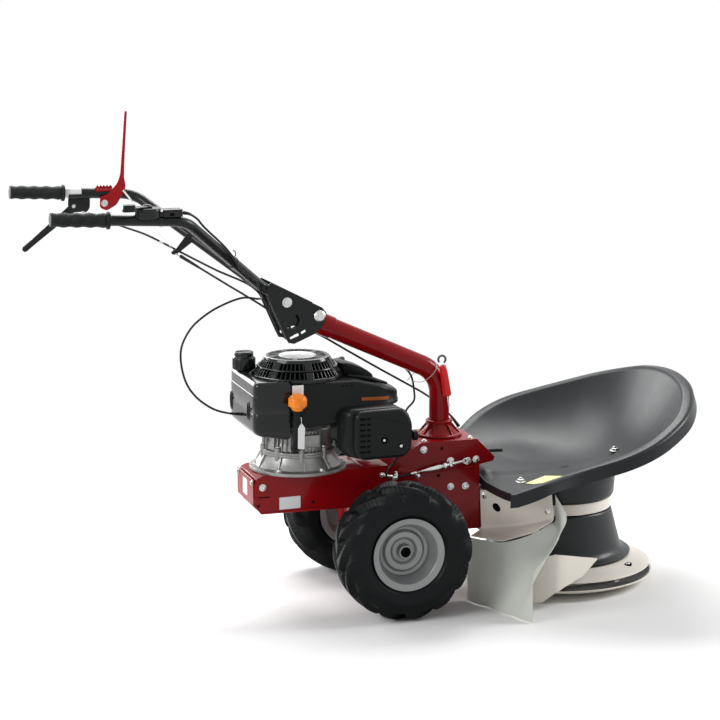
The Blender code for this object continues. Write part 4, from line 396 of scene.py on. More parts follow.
def tube(path, radius, count, up=LEFT, bore=0.0):
    """A round section carried along a path: side = tangent x up, other = side x tangent; radius may vary."""
    path = np.asarray(path, float)
    tangent = np.gradient(path, axis=0)
    tangent /= np.linalg.norm(tangent, axis=1)[:, None]
    side = np.cross(tangent, up)
    side /= np.linalg.norm(side, axis=1)[:, None]
    other = np.cross(side, tangent)
    angle = 2.0 * np.pi * np.arange(count) / count

    def rings(size):
        """A ring of the given radius round every point of the path."""
        size = np.broadcast_to(np.asarray(size, float), len(path))[:, None, None]
        return path[:, None] + size * (np.cos(angle)[None, :, None] * side[:, None]
                                       + np.sin(angle)[None, :, None] * other[:, None])

    if bore:
        return lofted(np.concatenate([rings(radius), rings(bore)[::-1]]), closed=True)
    return lofted(rings(radius))


def smooth_path(route, count):
    """Evenly spaced points on a centripetal curve through the route's points."""
    route = np.asarray(route, float)
    ends = np.concatenate([[2 * route[0] - route[1]], route, [2 * route[-1] - route[-2]]])
    knots = np.concatenate([[0.0], np.cumsum(np.sqrt(np.linalg.norm(np.diff(ends, axis=0), axis=1)))])
    fine = []
    for k in range(len(ends) - 3):
        a, b, c, d = ends[k:k + 4]
        ta, tb, tc, td = knots[k:k + 4]
        u = np.linspace(tb, tc, 25)[:-1, None]
        ab = a + (b - a) * (u - ta) / (tb - ta)
        bc = b + (c - b) * (u - tb) / (tc - tb)
        cd = c + (d - c) * (u - tc) / (td - tc)
        abc = ab + (bc - ab) * (u - ta) / (tc - ta)
        bcd = bc + (cd - bc) * (u - tb) / (td - tb)
        fine.append(abc + (bcd - abc) * (u - tb) / (tc - tb))
    fine = np.concatenate(fine + [route[-1:]])
    marks = np.concatenate([[0.0], np.cumsum(np.linalg.norm(np.diff(fine, axis=0), axis=1))])
    wanted = np.linspace(0.0, marks[-1], count)
    return np.stack([np.interp(wanted, marks, fine[:, k]) for k in range(3)], axis=1)


def inset(outline, distance):
    """The outline moved inwards by distance along the mean of the normals of its two edges."""
    points = np.asarray(outline, float)
    x, y = points.T
    way = np.sign(np.sum(x * np.roll(y, -1) - np.roll(x, -1) * y))
    before = points - np.roll(points, 1, axis=0)
    after = np.roll(points, -1, axis=0) - points
    before /= np.linalg.norm(before, axis=1)[:, None]
    after /= np.linalg.norm(after, axis=1)[:, None]
    one = way * np.stack([-before[:, 1], before[:, 0]], axis=1)
    two = way * np.stack([-after[:, 1], after[:, 0]], axis=1)
    middle = one + two
    middle /= np.maximum(np.sum(middle * one, axis=1), 0.4)[:, None]
    return points + middle * distance


def slab(outline, low, high, axis, round_corner=0.0, edge=0.0):
    """An outline carried from low to high; its corners are rounded in plan and its two rims by a quarter
    turn."""
    outline = softened(outline, round_corner, 3) if round_corner else np.asarray(outline, float)
    angle = np.linspace(0.0, np.pi / 2, 3) if edge else np.array([np.pi / 2])
    pulls = edge * (1.0 - np.sin(angle))
    lifts = edge * (1.0 - np.cos(angle))
    sign = 1.0 if high > low else -1.0
    rings = []
    for pull, lift in zip(pulls, lifts):
        rings.append((inset(outline, pull) if pull else outline, low + sign * lift))
    for pull, lift in zip(pulls[::-1], lifts[::-1]):
        rings.append((inset(outline, pull) if pull else outline, high - sign * lift))
    order = {"X": (2, 0, 1), "Y": (0, 2, 1), "Z": (0, 1, 2)}[axis]
    stacked = np.array([np.column_stack([flat, np.full(len(flat), level)]) for flat, level in rings])
    return lofted(stacked[:, :, order])


def box(low, high, corner, edge, axis="Z"):
    """A block with rounded upright corners and rounded rims."""
    level = "XYZ".index(axis)
    (a, b), (c, d) = [(low[k], high[k]) for k in range(3) if k != level]
    return slab([(a, c), (b, c), (b, d), (a, d)], low[level], high[level], axis, corner, edge)


def bolt(at, axis, size, washer=True, tall=0.6):
    """A hexagon head on a washer.  Its radius is size at the corners: apothem / cos(angle within 60
    degrees)."""
    angle = 2.0 * np.pi * np.arange(24) / 24
    hexagon = size * 0.866 / np.cos((angle + np.pi / 6) % (np.pi / 3) - np.pi / 6)
    rings = []
    if washer:
        for radius, z in ((1.35, 0.0), (1.35, 0.16), (1.28, 0.2)):
            rings.append(np.stack([radius * size * np.cos(angle), radius * size * np.sin(angle),
                                   np.full(24, z * size)], axis=1))
    for share, z in ((1.0, 0.2), (1.0, 0.12 + tall), (0.86, 0.2 + tall), (0.0, 0.2 + tall)):
        rings.append(np.stack([share * hexagon * np.cos(angle), share * hexagon * np.sin(angle),
                               np.full(24, z * size)], axis=1))
    points, faces = lofted(rings, caps=False)
    faces.append(list(range(24)))
    return aimed((points, faces), at, axis)


def placed(name, mesh, coat, crease):
    """A scene object of the mesh in one finish; edges sharper than crease degrees stay sharp."""
    mesh.materials.clear()
    mesh.materials.append(coat)
    mesh.shade_smooth()
    mesh.set_sharp_from_angle(angle=math.radians(crease))
    made = bpy.data.objects.new(name, mesh)
    bpy.context.scene.collection.objects.link(made)
    return made


def bevel_edges(made, width, crease):
    """A bevel of two steps on every edge sharper than crease degrees."""
    soft = made.modifiers.new("soft edges", "BEVEL")
    soft.width, soft.segments, soft.limit_method = width, 2, "ANGLE"
    soft.angle_limit = math.radians(crease)


def piece(name, shape, coat, body, slot=None, crease=38.0, bevel=0.0):
    """A finished mesh on its body: moved to the model's frame, doubles merged, faces turned outwards."""
    mesh = bpy.data.meshes.new(name)
    mesh.from_pydata((np.asarray(shape[0]) + (AXLE_X, 0.0, 0.0)).tolist(), [], shape[1])
    work = bmesh.new()
    work.from_mesh(mesh)
    bmesh.ops.remove_doubles(work, verts=work.verts, dist=1e-6)
    bmesh.ops.recalc_face_normals(work, faces=work.faces)
    work.to_mesh(mesh)
    work.free()
    made = placed(name, mesh, coat, crease)
    if bevel:
        bevel_edges(made, bevel, crease)
    if body:
        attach(made, body)
    return made


def dressed(node, shape, coat=None, **more):
    """The piece that shows in place of a CAD node, on its body, in its slot's finish unless coat is given."""
    slot = SLOTS[node]
    made = piece(f"{node}_dressed", shape, coat or FINISHES[slot], BODIES[node], slot, **more)
    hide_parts(node)
    return made


def eased(node, width):
    """A copy of a CAD node's mesh on the same body, its triangles merged and its edges rounded by width."""
    crease, slot = 30.0, SLOTS[node]
    mesh = frame["nodes"][node].data.copy()
    work = bmesh.new()
    work.from_mesh(mesh)
    bmesh.ops.remove_doubles(work, verts=work.verts, dist=1e-5)
    bmesh.ops.dissolve_limit(work, angle_limit=math.radians(1.0), verts=work.verts, edges=work.edges)
    work.to_mesh(mesh)
    work.free()
    made = placed(f"{node}_dressed", mesh, FINISHES[slot], crease)
    bevel_edges(made, width, crease)
    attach(made, BODIES[node])
    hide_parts(node)
    return made


def around(shape, count, start=0.0, turn=2.0 * math.pi):
    """Copies of a shape spread evenly round the Z axis over the angle turn."""
    points, faces = np.asarray(shape[0], float), shape[1]
    x, y = points[:, 0], points[:, 1]
    copies = []
    for a in start + turn * np.arange(count) / count:
        spun = np.stack([x * math.cos(a) - y * math.sin(a), x * math.sin(a) + y * math.cos(a), points[:, 2]],
                        axis=1)
        copies.append((spun, faces))
    return joined(*copies)


def arc(centre, radius, start, end, count):
    """Points on a circle between two angles in degrees."""
    angles = np.radians(np.linspace(start, end, count))
    return np.stack([centre[0] + radius * np.cos(angles), centre[1] + radius * np.sin(angles)], axis=1)


def rise(value, low, high):
    """A smooth step: 0 below low, 1 above high, 3t^2 - 2t^3 between."""
    t = np.clip((value - low) / (high - low), 0.0, 1.0)
    return t * t * (3.0 - 2.0 * t)


# Wheels

TYRE_R, TYRE_HALF_W = 0.165, 0.062
LUG, LUGS = 0.015, 13               # how high a lug stands, and how many stand round each half
TRACK, RIM_HALF_W = 0.4425, 0.052
WEB_Y = RIM_HALF_W - 0.05


def tyre():
    """Carcass section carried round; the radius grows by lug height where the phase round the tyre,
    pulled back towards the shoulders, lies inside a bar; the bars of the two halves alternate."""
    half = np.array([
        (0.0778, 0.0435), (0.0862, 0.0462), (0.0918, 0.0478), (0.095, 0.05), (0.0975, 0.054), (0.099, 0.0552),
        (0.101, 0.0548), (0.106, 0.0585), (0.114, 0.0612), (0.122, 0.0618), (0.127, 0.061), (0.13, 0.06),
        (0.133, 0.059), (0.137, 0.0575), (0.141, 0.055), (0.144, 0.052), (0.1462, 0.048), (0.1475, 0.043),
        (0.1485, 0.037), (0.1492, 0.031), (0.1497, 0.025), (0.15, 0.019), (0.1502, 0.013), (0.1503, 0.007),
        (0.1503, 0.002)])
    section = np.concatenate([half * (1, -1), half[::-1]])
    radius, y = section[:, :1], section[:, 1:]
    angle = 2.0 * np.pi * np.arange(26 * LUGS) / (26 * LUGS)
    back = 0.9 * (np.abs(y) / 0.051) ** 1.25
    phase = (angle * LUGS / (2.0 * np.pi) + back) % 1.0

    def bar(start, end):
        """1 inside a lug's share of the phase, with slanting flanks outside it."""
        middle, half_w = (start + end) / 2, (end - start) / 2
        away = np.abs((phase - middle + 0.5) % 1.0 - 0.5)
        return 1.0 - rise(away, half_w - 0.035, half_w + 0.075)

    right = bar(0.13, 0.5) * rise(-y, -0.012, -0.004)
    left = bar(0.63, 1.0) * rise(y, -0.012, -0.004)
    height = LUG * rise(radius, 0.1275, 0.1345) * np.maximum(right, left)
    height -= 0.0008 * np.maximum(right, left) * (np.abs(y) / TYRE_HALF_W) ** 2
    outer = np.stack([(radius + height) * np.cos(angle), (radius + height) * np.sin(angle),
                      y + 0.0 * angle], axis=2)
    inner = np.array([(0.136, 0.046), (0.136, -0.046)])
    inside = np.stack([inner[:, :1] * np.cos(angle), inner[:, :1] * np.sin(angle),
                       inner[:, 1:] + 0.0 * angle], axis=2)
    return lofted(np.concatenate([outer, inside]), closed=True)


def rim_section():
    """Radius and distance from the wheel's middle: flanges, well, stepped web and hub."""
    half, well = RIM_HALF_W, 0.061
    return [
        (0.0895, half - 0.0004), (0.0885, half - 0.003), (0.0765, half - 0.008), (0.066, 0.02),
        (0.064, -0.018), (0.0765, -half + 0.007), (0.0895, -half + 0.003), (0.0895, -half),
        (0.0735, -half + 0.005), (well, -0.0165), (well, WEB_Y - 0.003), (0.016, WEB_Y - 0.003),
        (0.016, -0.139), (0.01, -0.139), (0.01, WEB_Y + 0.022), (0.0165, WEB_Y + 0.022),
        (0.0175, WEB_Y + 0.004), (0.027, WEB_Y + 0.001), (0.034, WEB_Y + 0.008), (0.047, WEB_Y + 0.009),
        (0.053, WEB_Y + 0.001), (well, WEB_Y + 0.004), (0.0615, 0.019), (0.072, half - 0.01),
        (0.074, half - 0.0055), (0.083, half - 0.003)]


def wheels():
    """Tyre, rim, and a dark ring with a disc of painted shade in the hub's bore, on both sides of the axle.
    """
    for side, word in ((-1.0, "right"), (1.0, "left")):
        middle = (0.0, side * TRACK / 2, TYRE_R)
        outward = (0.0, side, 0.0)
        dressed(f"tyre_{word}", aimed(tyre(), middle, outward), crease=50.0)
        dressed(f"rim_{word}", aimed(turned(rim_section(), 96, 0.0016, 4), middle, outward), crease=60.0)
        out = WEB_Y + 0.0222
        # a dark ring at the hub, and a dark disc sunk in its bore that is painted shade of the hole
        ring = turned([(0.0082, -0.006), (0.0128, -0.006), (0.0128, 0.0012), (0.0116, 0.0018),
                       (0.0082, 0.0012)], 48, 0.0005)
        plug = turned([(0.0, -0.0052), (0.0096, -0.0052), (0.0096, -0.0038), (0.0, -0.0038)], 40)
        centre = (0.0, side * (TRACK / 2 + out), TYRE_R)
        piece(f"hub_ring_and_hole_shade_{word}", aimed(joined(ring, plug), centre, outward), HOLE, f"wheel_{word}")


# Chassis

SIDE_Y = 0.0755         # half the box's width
HOOD_TOP = 0.39


def chassis_plates():
    """The folded box, its rear cover and the mower's mount keep their solid form, with eased edges."""
    eased("chassis_frame", 0.0012)
    eased("rear_cover", 0.001)
    eased("mower_mount", 0.0014)


def chassis_bolts():
    """Heads on both sides of the box, on top of the hood and on the rear cover."""
    spots = [(0.103, 0.372, 0.0068), (0.173, 0.339, 0.007), (0.218, 0.336, 0.007), (0.24, 0.339, 0.0066),
             (0.174, 0.274, 0.0066), (0.213, 0.273, 0.0068), (-0.307, 0.307, 0.0066)]
    bolts = [bolt((x, side * SIDE_Y, z), (0.0, side, 0.0), size)
             for x, z, size in spots for side in (-1.0, 1.0)]
    bolts += [bolt((x, y, HOOD_TOP), UP, 0.0055) for x in (0.112, 0.232) for y in (0.055, -0.055)]
    bolts += [bolt((-0.331, y, 0.318), (-1.0, 0.0, 0.0), 0.005) for y in (0.064, -0.064)]
    piece("chassis_bolts", joined(*bolts), STEEL, "chassis")


def chassis_lips():
    """Stiffening lips pressed along both sides, and the plate behind the cable clamp on the right."""
    upper = [(0.026, 0.312), (0.1, 0.3125), (0.242, 0.3185), (0.242, 0.3225), (0.1, 0.3165), (0.026, 0.316)]
    lower = [(-0.3, 0.241), (-0.088, 0.241), (-0.088, 0.245), (-0.3, 0.245)]
    plate = [(0.026, 0.317), (0.09, 0.3175), (0.06, 0.331), (0.04, 0.333)]
    lips = [slab(line, side * 0.0757, side * 0.0785, "Y", 0.001, 0.0008) for side in (-1.0, 1.0)
            for line in (upper, lower)]
    lips.append(slab(plate, -0.0757, -0.0772, "Y", 0.002, 0.0006))
    piece("chassis_lips", joined(*lips), RED, "chassis", "red_enamel")


def chassis_marks():
    """Dark holes in the right side, and the bare places of the rating plate and the rear badge."""
    slot = slab([(-0.319, 0.2805), (-0.289, 0.2815), (-0.289, 0.2845), (-0.319, 0.2835)], -0.0752, -0.0757,
                "Y", 0.0012)
    rounds = [aimed(sleeve(radius, 0.0, 0.0006, count=24, soft=0.0), (x, -0.0752, z), RIGHT)
              for x, z, radius in ((-0.318, 0.262, 0.0036), (-0.18, 0.262, 0.004), (0.142, 0.304, 0.004),
                                   (0.15, 0.372, 0.004))]
    piece("chassis_holes", joined(slot, *rounds), HOLE, "chassis")
    plate = [(-0.2655, 0.249), (-0.2125, 0.25), (-0.2125, 0.28), (-0.2655, 0.279)]
    piece("bare_rating_plate", slab(plate, -0.0753, -0.0759, "Y", 0.0015), SILVER, "chassis")
    badge = box((-0.3307, -0.02, 0.276), (-0.3312, 0.02, 0.316), 0.004, 0.0, "X")
    piece("bare_rear_badge", badge, WHITE, "chassis")


def chassis_straps():
    """The small tab on the mower's mount, and the strap across the top behind the hood."""
    tab = [(0.252, 0.156), (0.252, 0.162), (0.286, 0.16), (0.286, 0.157)]
    piece("adapter_tab", slab(tab, -0.073, -0.06, "Y", 0.001, 0.0008), CREAM, "chassis", "cream_enamel")
    strap = box((-0.05, -0.07, 0.3352), (0.02, 0.07, 0.3385), 0.001, 0.0008, "Y")
    piece("top_strap", strap, RED, "chassis", "red_enamel")


# Engine

ENGINE = (-0.197, 0.0, 0.0)
BASE_LOW = 0.3353
BASE_TOP = BASE_LOW + 0.046
CASE_LOW = BASE_TOP + 0.0003
CASE_TOP = CASE_LOW + 0.06
CYLINDER_Z = 0.425


def engine_base():
    """A flared foot with a flange above and below, ten ribs, and six bolts on pads round the foot."""
    low = BASE_LOW
    foot = [(0.1185, low), (0.1185, low + 0.0075), (0.106, low + 0.011), (0.097, low + 0.024),
            (0.088, BASE_TOP - 0.0065), (0.0915, BASE_TOP - 0.0055), (0.0915, BASE_TOP), (0.0795, BASE_TOP),
            (0.0795, BASE_TOP - 0.01), (0.0985, low + 0.006), (0.0985, low)]
    rib = slab([(0.08, low + 0.006), (0.11, low + 0.006), (0.0915, BASE_TOP - 0.004),
                (0.08, BASE_TOP - 0.004)], -0.002, 0.002, "Y", 0.001, 0.0008)
    reach, first = 0.1045, -1.25        # the bolts' distance from the axis and the first one's angle
    pad = moved(sleeve(0.0125, low + 0.0062, low + 0.0105, count=32), (reach, 0.0, 0.0))
    shape = joined(turned(foot, 96, 0.001), around(rib, 10, start=0.2), around(pad, 6, start=first))
    dressed("engine_base", moved(shape, ENGINE))
    heads = around(bolt((reach, 0.0, low + 0.0105), UP, 0.0068), 6, start=first)
    piece("engine_base_bolts", moved(heads, ENGINE), STEEL, "chassis")


def crankcase():
    """A waisted case with nine bolt bosses and three groups of upright cooling ribs."""
    low, high = CASE_LOW, CASE_TOP
    case = [(0.0, low), (0.0915, low), (0.0915, low + 0.0055), (0.084, low + 0.0085), (0.083, low + 0.02),
            (0.08, low + 0.03), (0.083, high - 0.004), (0.081, high), (0.0, high)]
    boss = turned([(0.0, BASE_TOP - 0.026), (0.0062, BASE_TOP - 0.024), (0.0075, low), (0.0075, low + 0.016),
                   (0.0, low + 0.016)], 24, 0.001)
    rib = slab([(0.076, low + 0.006), (0.0875, low + 0.006), (0.086, high - 0.002), (0.076, high - 0.002)],
               -0.0016, 0.0016, "Y", 0.0008, 0.0006)
    reach, first = 0.087, 0.35         # the bolts' distance from the axis and the first one's angle
    shape = [turned(case, 96, 0.0012), around(moved(boss, (reach, 0.0, 0.0)), 9, start=first)]
    for count, start, turn in ((5, 212.0, 38.0), (7, 258.0, 48.0), (16, 40.0, 160.0)):
        shape.append(around(rib, count, start=math.radians(start), turn=math.radians(turn)))
    shape.append(box((-0.01, -0.0935, low + 0.02), (0.03, -0.07, low + 0.05), 0.004, 0.002, "Y"))
    dressed("crankcase", moved(joined(*shape), ENGINE))
    heads = around(bolt((reach, 0.0, low + 0.016), UP, 0.0048, washer=False), 9, start=first)
    piece("crankcase_bolts", moved(heads, ENGINE), STEEL, "chassis")


def cylinder():
    """Eleven fins round a level barrel, the head in front of them, and the boot of the spark plug."""
    block, first, pitch = ENGINE[0] + 0.071, ENGINE[0] + 0.0945, 0.0085
    barrel_end, head, face = first + 0.088, first + 0.092, first + 0.124
    fins = [turned([(0.0, block), (0.036, block), (0.036, barrel_end), (0.0, barrel_end)], 48)]
    for k in range(11):
        at = first + pitch * k
        fin = [(0.03, at), (0.0495, at + 0.0005), (0.0495, at + 0.0026), (0.03, at + 0.0031)]
        fins.append(turned(fin, 48, 0.0006, 2))
    fins.append(turned([(0.0, head), (0.047, head), (0.047, face), (0.0, face)], 48, 0.003))
    dressed("cylinder", aimed(joined(*fins), (0.0, 0.0, CYLINDER_Z), AHEAD))
    boot = turned([(0.0, 0.0), (0.0085, 0.0), (0.0085, 0.012), (0.006, 0.016), (0.006, 0.03), (0.0075, 0.032),
                   (0.0075, 0.046), (0.0, 0.048)], 24, 0.001)
    piece("spark_plug_boot", aimed(boot, (0.0215, 0.0, CYLINDER_Z), AHEAD), GRIP, "chassis")


COWL_R, COWL_TOP, COWL_FRONT, COWL_WALL = 0.112, 0.562, 0.048, 0.0015


def cowl_plan(pull):
    """Plan of the cowl pulled in by pull: a round back that runs forward over the cylinder."""
    back = arc(ENGINE, COWL_R - pull, 90, 270, 40)
    right = np.array([(-0.085, -0.108 + pull), (0.0, -0.098 + pull),
                      (COWL_FRONT - 0.016 - pull, -0.074 + pull), (COWL_FRONT - pull, -0.046 + pull)])
    side = softened(np.concatenate([back[-1:], right, right[::-1] * (1, -1), back[:1]]), 0.02, 5,
                    loop=False)[1:-1]
    return np.concatenate([back, side])


def cowl_height(x, drop=0.0):
    """Height of the cowl's top less drop: level over the engine, then down by 40 mm to the front."""
    share = np.clip((x - (ENGINE[0] + COWL_R)) / (COWL_FRONT - ENGINE[0] - COWL_R), 0.0, 1.0)
    return COWL_TOP - 0.04 * share ** 1.3 - drop


def cowl_floor(x):
    """Height of the cowl's lower edge, which climbs by 37 mm on its way forwards."""
    return 0.455 + 0.037 * np.clip((x + 0.125) / 0.09, 0.0, 1.0)


def engine_cowl():
    """Rings of the plan, low edge to crown: the side is upright and the shoulder a quarter turn."""
    def ring(pull, height):
        """The plan pulled in, each of its points lifted to a height that follows x."""
        plan = cowl_plan(pull)
        return np.column_stack([plan, height(plan[:, 0])])

    rings = [ring(0.003, cowl_floor), ring(0.0, lambda x: cowl_floor(x) + 0.002),
             ring(0.0, lambda x: cowl_floor(x) + 0.01), ring(COWL_WALL, lambda x: cowl_floor(x) + 0.012),
             ring(COWL_WALL, lambda x: cowl_height(x, 0.0085))]
    for a in np.linspace(0.0, np.pi / 2, 7):
        pull, drop = 0.0065 * (1.0 - math.cos(a)), 0.0065 * (1.0 - math.sin(a))
        rings.append(ring(COWL_WALL + pull, lambda x, d=drop: cowl_height(x, d)))
    rings += [ring(0.04, lambda x: cowl_height(x) - 0.0004), ring(0.06, cowl_height)]
    rings += [ring(0.06, lambda x: cowl_height(x, 0.003)), ring(0.02, lambda x: cowl_height(x, 0.003)),
              ring(0.005, lambda x: cowl_height(x, 0.02)), ring(0.0045, cowl_floor)]
    dressed("engine_cowl", lofted(np.array(rings), closed=True), crease=55.0)


def cowl_pod():
    """The raised pod in front of the starter, and beside it a collar and a ridge that swells in its
    middle."""
    pod = softened([(-0.088, 0.556), (-0.09, 0.572), (-0.0985, 0.593), (-0.085, 0.5922), (-0.065, 0.587),
                    (-0.045, 0.5795), (-0.028, 0.5705), (-0.0165, 0.5612), (-0.0139, 0.5545),
                    (-0.017, 0.548), (-0.06, 0.552)], 0.003, 4)
    piece("cowl_pod", slab(pod, -0.034, 0.034, "Y", 0.0, 0.003), MOULDING, "chassis", "black_moulding")
    collar = turned([(0.1115, COWL_TOP - 0.004), (0.1122, COWL_TOP - 0.001), (0.108, COWL_TOP + 0.0002),
                     (0.104, COWL_TOP - 0.004)], 96, 0.0006)
    path = smooth_path([(-0.085, -0.052, 0.565), (-0.05, -0.056, 0.559), (-0.01, -0.052, 0.548),
                        (0.018, -0.04, 0.538)], 24)
    ridge = tube(path, 0.0052 * np.sin(np.linspace(0.35, np.pi - 0.35, 24)) ** 0.5, 16, UP)
    piece("cowl_ridges", joined(moved(collar, ENGINE), ridge), MOULDING, "chassis", "black_moulding")


def cowl_trim():
    """The orange stripe and three dark dashes on the cowl's right side, and two bolts on top."""
    plan = cowl_plan(COWL_WALL)
    side = plan[plan[:, 1] < -0.03]
    side = side[np.argsort(side[:, 0])]
    x = np.linspace(-0.066, 0.008, 20)
    out = np.interp(x, side[:, 0], side[:, 1])
    low = 0.512 - 0.055 * (x + 0.066)
    grid = np.stack([np.column_stack([x, out, low + lift]) for lift in (0.0, 0.004, 0.008)], axis=1)
    stripe = sheet_between(grid - (0.0, 0.0006, 0.0), grid + (0.0, 0.0004, 0.0))
    piece("cowl_stripe", stripe, STRIPE, "chassis")
    dashes = []
    for x in (-0.117, -0.106, -0.094):
        out, up = float(np.interp(x, side[:, 0], side[:, 1])), float(cowl_height(np.array(x))) - 0.013
        dashes.append(box((x, out - 0.0004, up), (x + 0.0055, out + 0.001, up + 0.004), 0.001, 0.0))
    piece("cowl_slots", joined(*dashes), HOLE, "chassis")
    bolts = [bolt((-0.265, -0.0935, 0.56), UP, 0.006), bolt((-0.256, 0.098, 0.56), UP, 0.0055)]
    piece("cowl_bolts", joined(*bolts), STEEL, "chassis")


def starter():
    """A cone of ribs between two rings over a cone of painted shade, and a flat grille round the middle disc.
    """
    low = COWL_TOP + 0.0003
    top = low + 0.0515
    foot_r, head_r = 0.1085, 0.08
    # painted shade: a near-black cone under the ribs and grille, standing for the shade seen through the
    # vents
    vent_shade = turned([(0.0, low), (foot_r - 0.008, low), (head_r - 0.008, top - 0.006), (0.0, top - 0.006)],
                    64)
    piece("starter_vent_shade", moved(vent_shade, ENGINE), HOLE, "chassis")
    foot = [(0.098, low), (0.111, low), (0.111, low + 0.0085), (foot_r - 0.001, low + 0.01),
            (0.098, low + 0.01)]
    head = [(0.07, top - 0.0065), (head_r + 0.003, top - 0.0085), (head_r, top - 0.0005),
            (head_r - 0.003, top), (0.07, top)]
    hoop = [(0.082, low + 0.0265), (0.099, low + 0.0265), (0.0975, low + 0.029), (0.082, low + 0.029)]
    rings = [turned(foot, 96, 0.0012), turned(head, 96, 0.001), turned(hoop, 96, 0.0006)]
    rib = slab([(0.09, low + 0.008), (foot_r - 0.0015, low + 0.008), (head_r + 0.0012, top - 0.006),
                (0.068, top - 0.006)], -0.0012, 0.0012, "Y", 0.0004, 0.0004)
    panel = slab([(0.092, low + 0.008), (foot_r - 0.0005, low + 0.008), (head_r + 0.0022, top - 0.006),
                  (0.07, top - 0.006)], -0.0095, 0.0095, "Y", 0.0004, 0.0015)
    thin = box((0.046, -0.0013, top - 0.004), (0.074, 0.0013, top - 0.0006), 0.0004, 0.0004, "Y")
    wide = box((0.046, -0.0055, top - 0.004), (0.074, 0.0055, top - 0.0004), 0.0004, 0.0008, "Y")
    disc = turned([(0.0, top - 0.005), (0.05, top - 0.005), (0.05, top - 0.0012), (0.0, top - 0.001)], 72,
                  0.0008)
    shape = joined(*rings, around(rib, 56), around(panel, 7, start=0.25), around(thin, 40),
                   around(wide, 5, start=0.6), disc)
    dressed("starter_housing", moved(shape, ENGINE), GLOSS)
    rim = [(0.0715, top - 0.001), (0.0795, top - 0.0012), (0.08, top - 0.0002), (0.076, top),
           (0.0715, top - 0.0002)]
    piece("starter_rim", moved(turned(rim, 96, 0.0004), ENGINE), SILVER, "chassis")
    face = [(0.0, top - 0.0012), (0.046, top - 0.0014), (0.0455, top - 0.0002), (0.0, top)]
    piece("starter_disc", moved(turned(face, 72, 0.0004), ENGINE), SILVER, "chassis")


def pull_grip():
    """A waisted handle across the end of its rope, in a short guide that leans out of the cowl."""
    way = np.array((0.25, 0.45, 0.857))
    base = np.array((-0.079, 0.046, cowl_height(np.array(-0.066)) + 0.008))
    bar = turned([(0.0, -0.021), (0.007, -0.02), (0.0082, -0.011), (0.0066, 0.0), (0.0082, 0.011),
                  (0.007, 0.02), (0.0, 0.021)], 32, 0.003)
    grip = joined(aimed(bar, base + way * 0.018, (0.7, 0.71, 0.0)),
                  aimed(sleeve(0.0055, 0.001, 0.014), base, way),
                  aimed(sleeve(0.0022, -0.02, 0.004, count=16), base, way))
    dressed("starter_grip", grip)


TANK_LOW, TANK_TOP = 0.429, 0.572
TANK_FRONT = -0.247         # where the sides meet the part that hugs the cowl
TANK_NECK = (-0.3135, 0.066, 0.0)


def tank_plan():
    """Plan of the tank: it hugs the cowl in front, and its rear corners are round."""
    hug = COWL_R + 0.0012
    lean = math.degrees(math.acos((TANK_FRONT - ENGINE[0]) / hug))
    front = arc(ENGINE, hug, lean, 360 - lean, 30)
    corner = softened([(-0.29, -0.12), (-0.337, -0.12), (-0.337, -0.07)], 0.026, 8, loop=False)
    far = softened([(-0.337, 0.06), (-0.337, 0.126), (-0.28, 0.126)], 0.036, 8, loop=False)
    return np.concatenate([front, [(TANK_FRONT, -0.12)], corner, far, [(TANK_FRONT, 0.126)]])


def fuel_tank():
    """Rings of the plan: round rims below and above, a waist line pressed at mid height on the side."""
    plan = tank_plan()
    back = np.clip((TANK_FRONT - plan[:, 0]) / 0.09, 0.0, 1.0)
    levels = [(0.01, TANK_LOW), (0.0045, TANK_LOW + 0.003), (0.0012, TANK_LOW + 0.008),
              (0.0, TANK_LOW + 0.016), (0.0, 0.487), (0.0007, 0.4885), (0.0007, 0.4915), (0.0, 0.493),
              (0.0, 0.5385), (0.0003, 0.5392), (0.001, 0.5397), (0.001, 0.5615), (0.0018, 0.565),
              (0.0038, 0.5685), (0.008, TANK_TOP)]
    rings = []
    for pull, z in levels:
        edge = inset(plan, pull) if pull else plan
        lift = 0.014 * back * (1.0 - rise(np.array(z), TANK_LOW + 0.02, 0.54))
        rings.append(np.column_stack([edge, z + lift]))
    neck = turned([(0.014, TANK_TOP - 0.004), (0.02, TANK_TOP - 0.004), (0.02, TANK_TOP + 0.012),
                   (0.015, TANK_TOP + 0.012)], 48, 0.001)
    shape = joined(lofted(np.array(rings)), moved(neck, TANK_NECK))
    dressed("fuel_tank", shape, GLOSS, crease=48.0)


def tank_holes():
    """Two dark ovals in the tank's rear face, each in a raised ring."""
    x = -0.3372
    angle = 2.0 * np.pi * np.arange(40) / 40
    dark, marks = [], []
    for y, z in ((0.1, 0.49), (-0.062, 0.495)):
        ring = [np.column_stack([np.full(40, x - out), y + 0.011 * size * np.cos(angle),
                                 z + 0.021 * size * np.sin(angle)])
                for size, out in ((0.95, 0.0), (1.12, 0.0), (1.1, 0.0012), (0.98, 0.001))]
        marks.append(lofted(ring, closed=True))
        dark.append(lofted([ring[0], ring[0] - (0.0004, 0.0, 0.0)]))
    piece("tank_ring_marks", joined(*marks), GLOSS, "chassis", "black_moulding")
    piece("tank_holes", joined(*dark), HOLE, "chassis")


def fuel_cap():
    """A stepped cap with fourteen lugs round its skirt and a bar across its top."""
    top = TANK_TOP + 0.045
    cap = turned([(0.0, top), (0.02, top), (0.0235, top - 0.003), (0.0235, top - 0.012),
                  (0.0275, top - 0.015), (0.0275, TANK_TOP + 0.001), (0.0208, TANK_TOP + 0.001),
                  (0.0208, TANK_TOP + 0.013), (0.0, TANK_TOP + 0.013)], 72, 0.0016)
    lug = box((0.0255, -0.0045, TANK_TOP + 0.003), (0.0285, 0.0045, TANK_TOP + 0.029), 0.001, 0.001)
    bar = box((-0.023, -0.006, top - 0.006), (0.023, 0.006, top), 0.003, 0.002)
    dressed("fuel_cap", moved(joined(cap, around(lug, 14), bar), TANK_NECK), GLOSS)


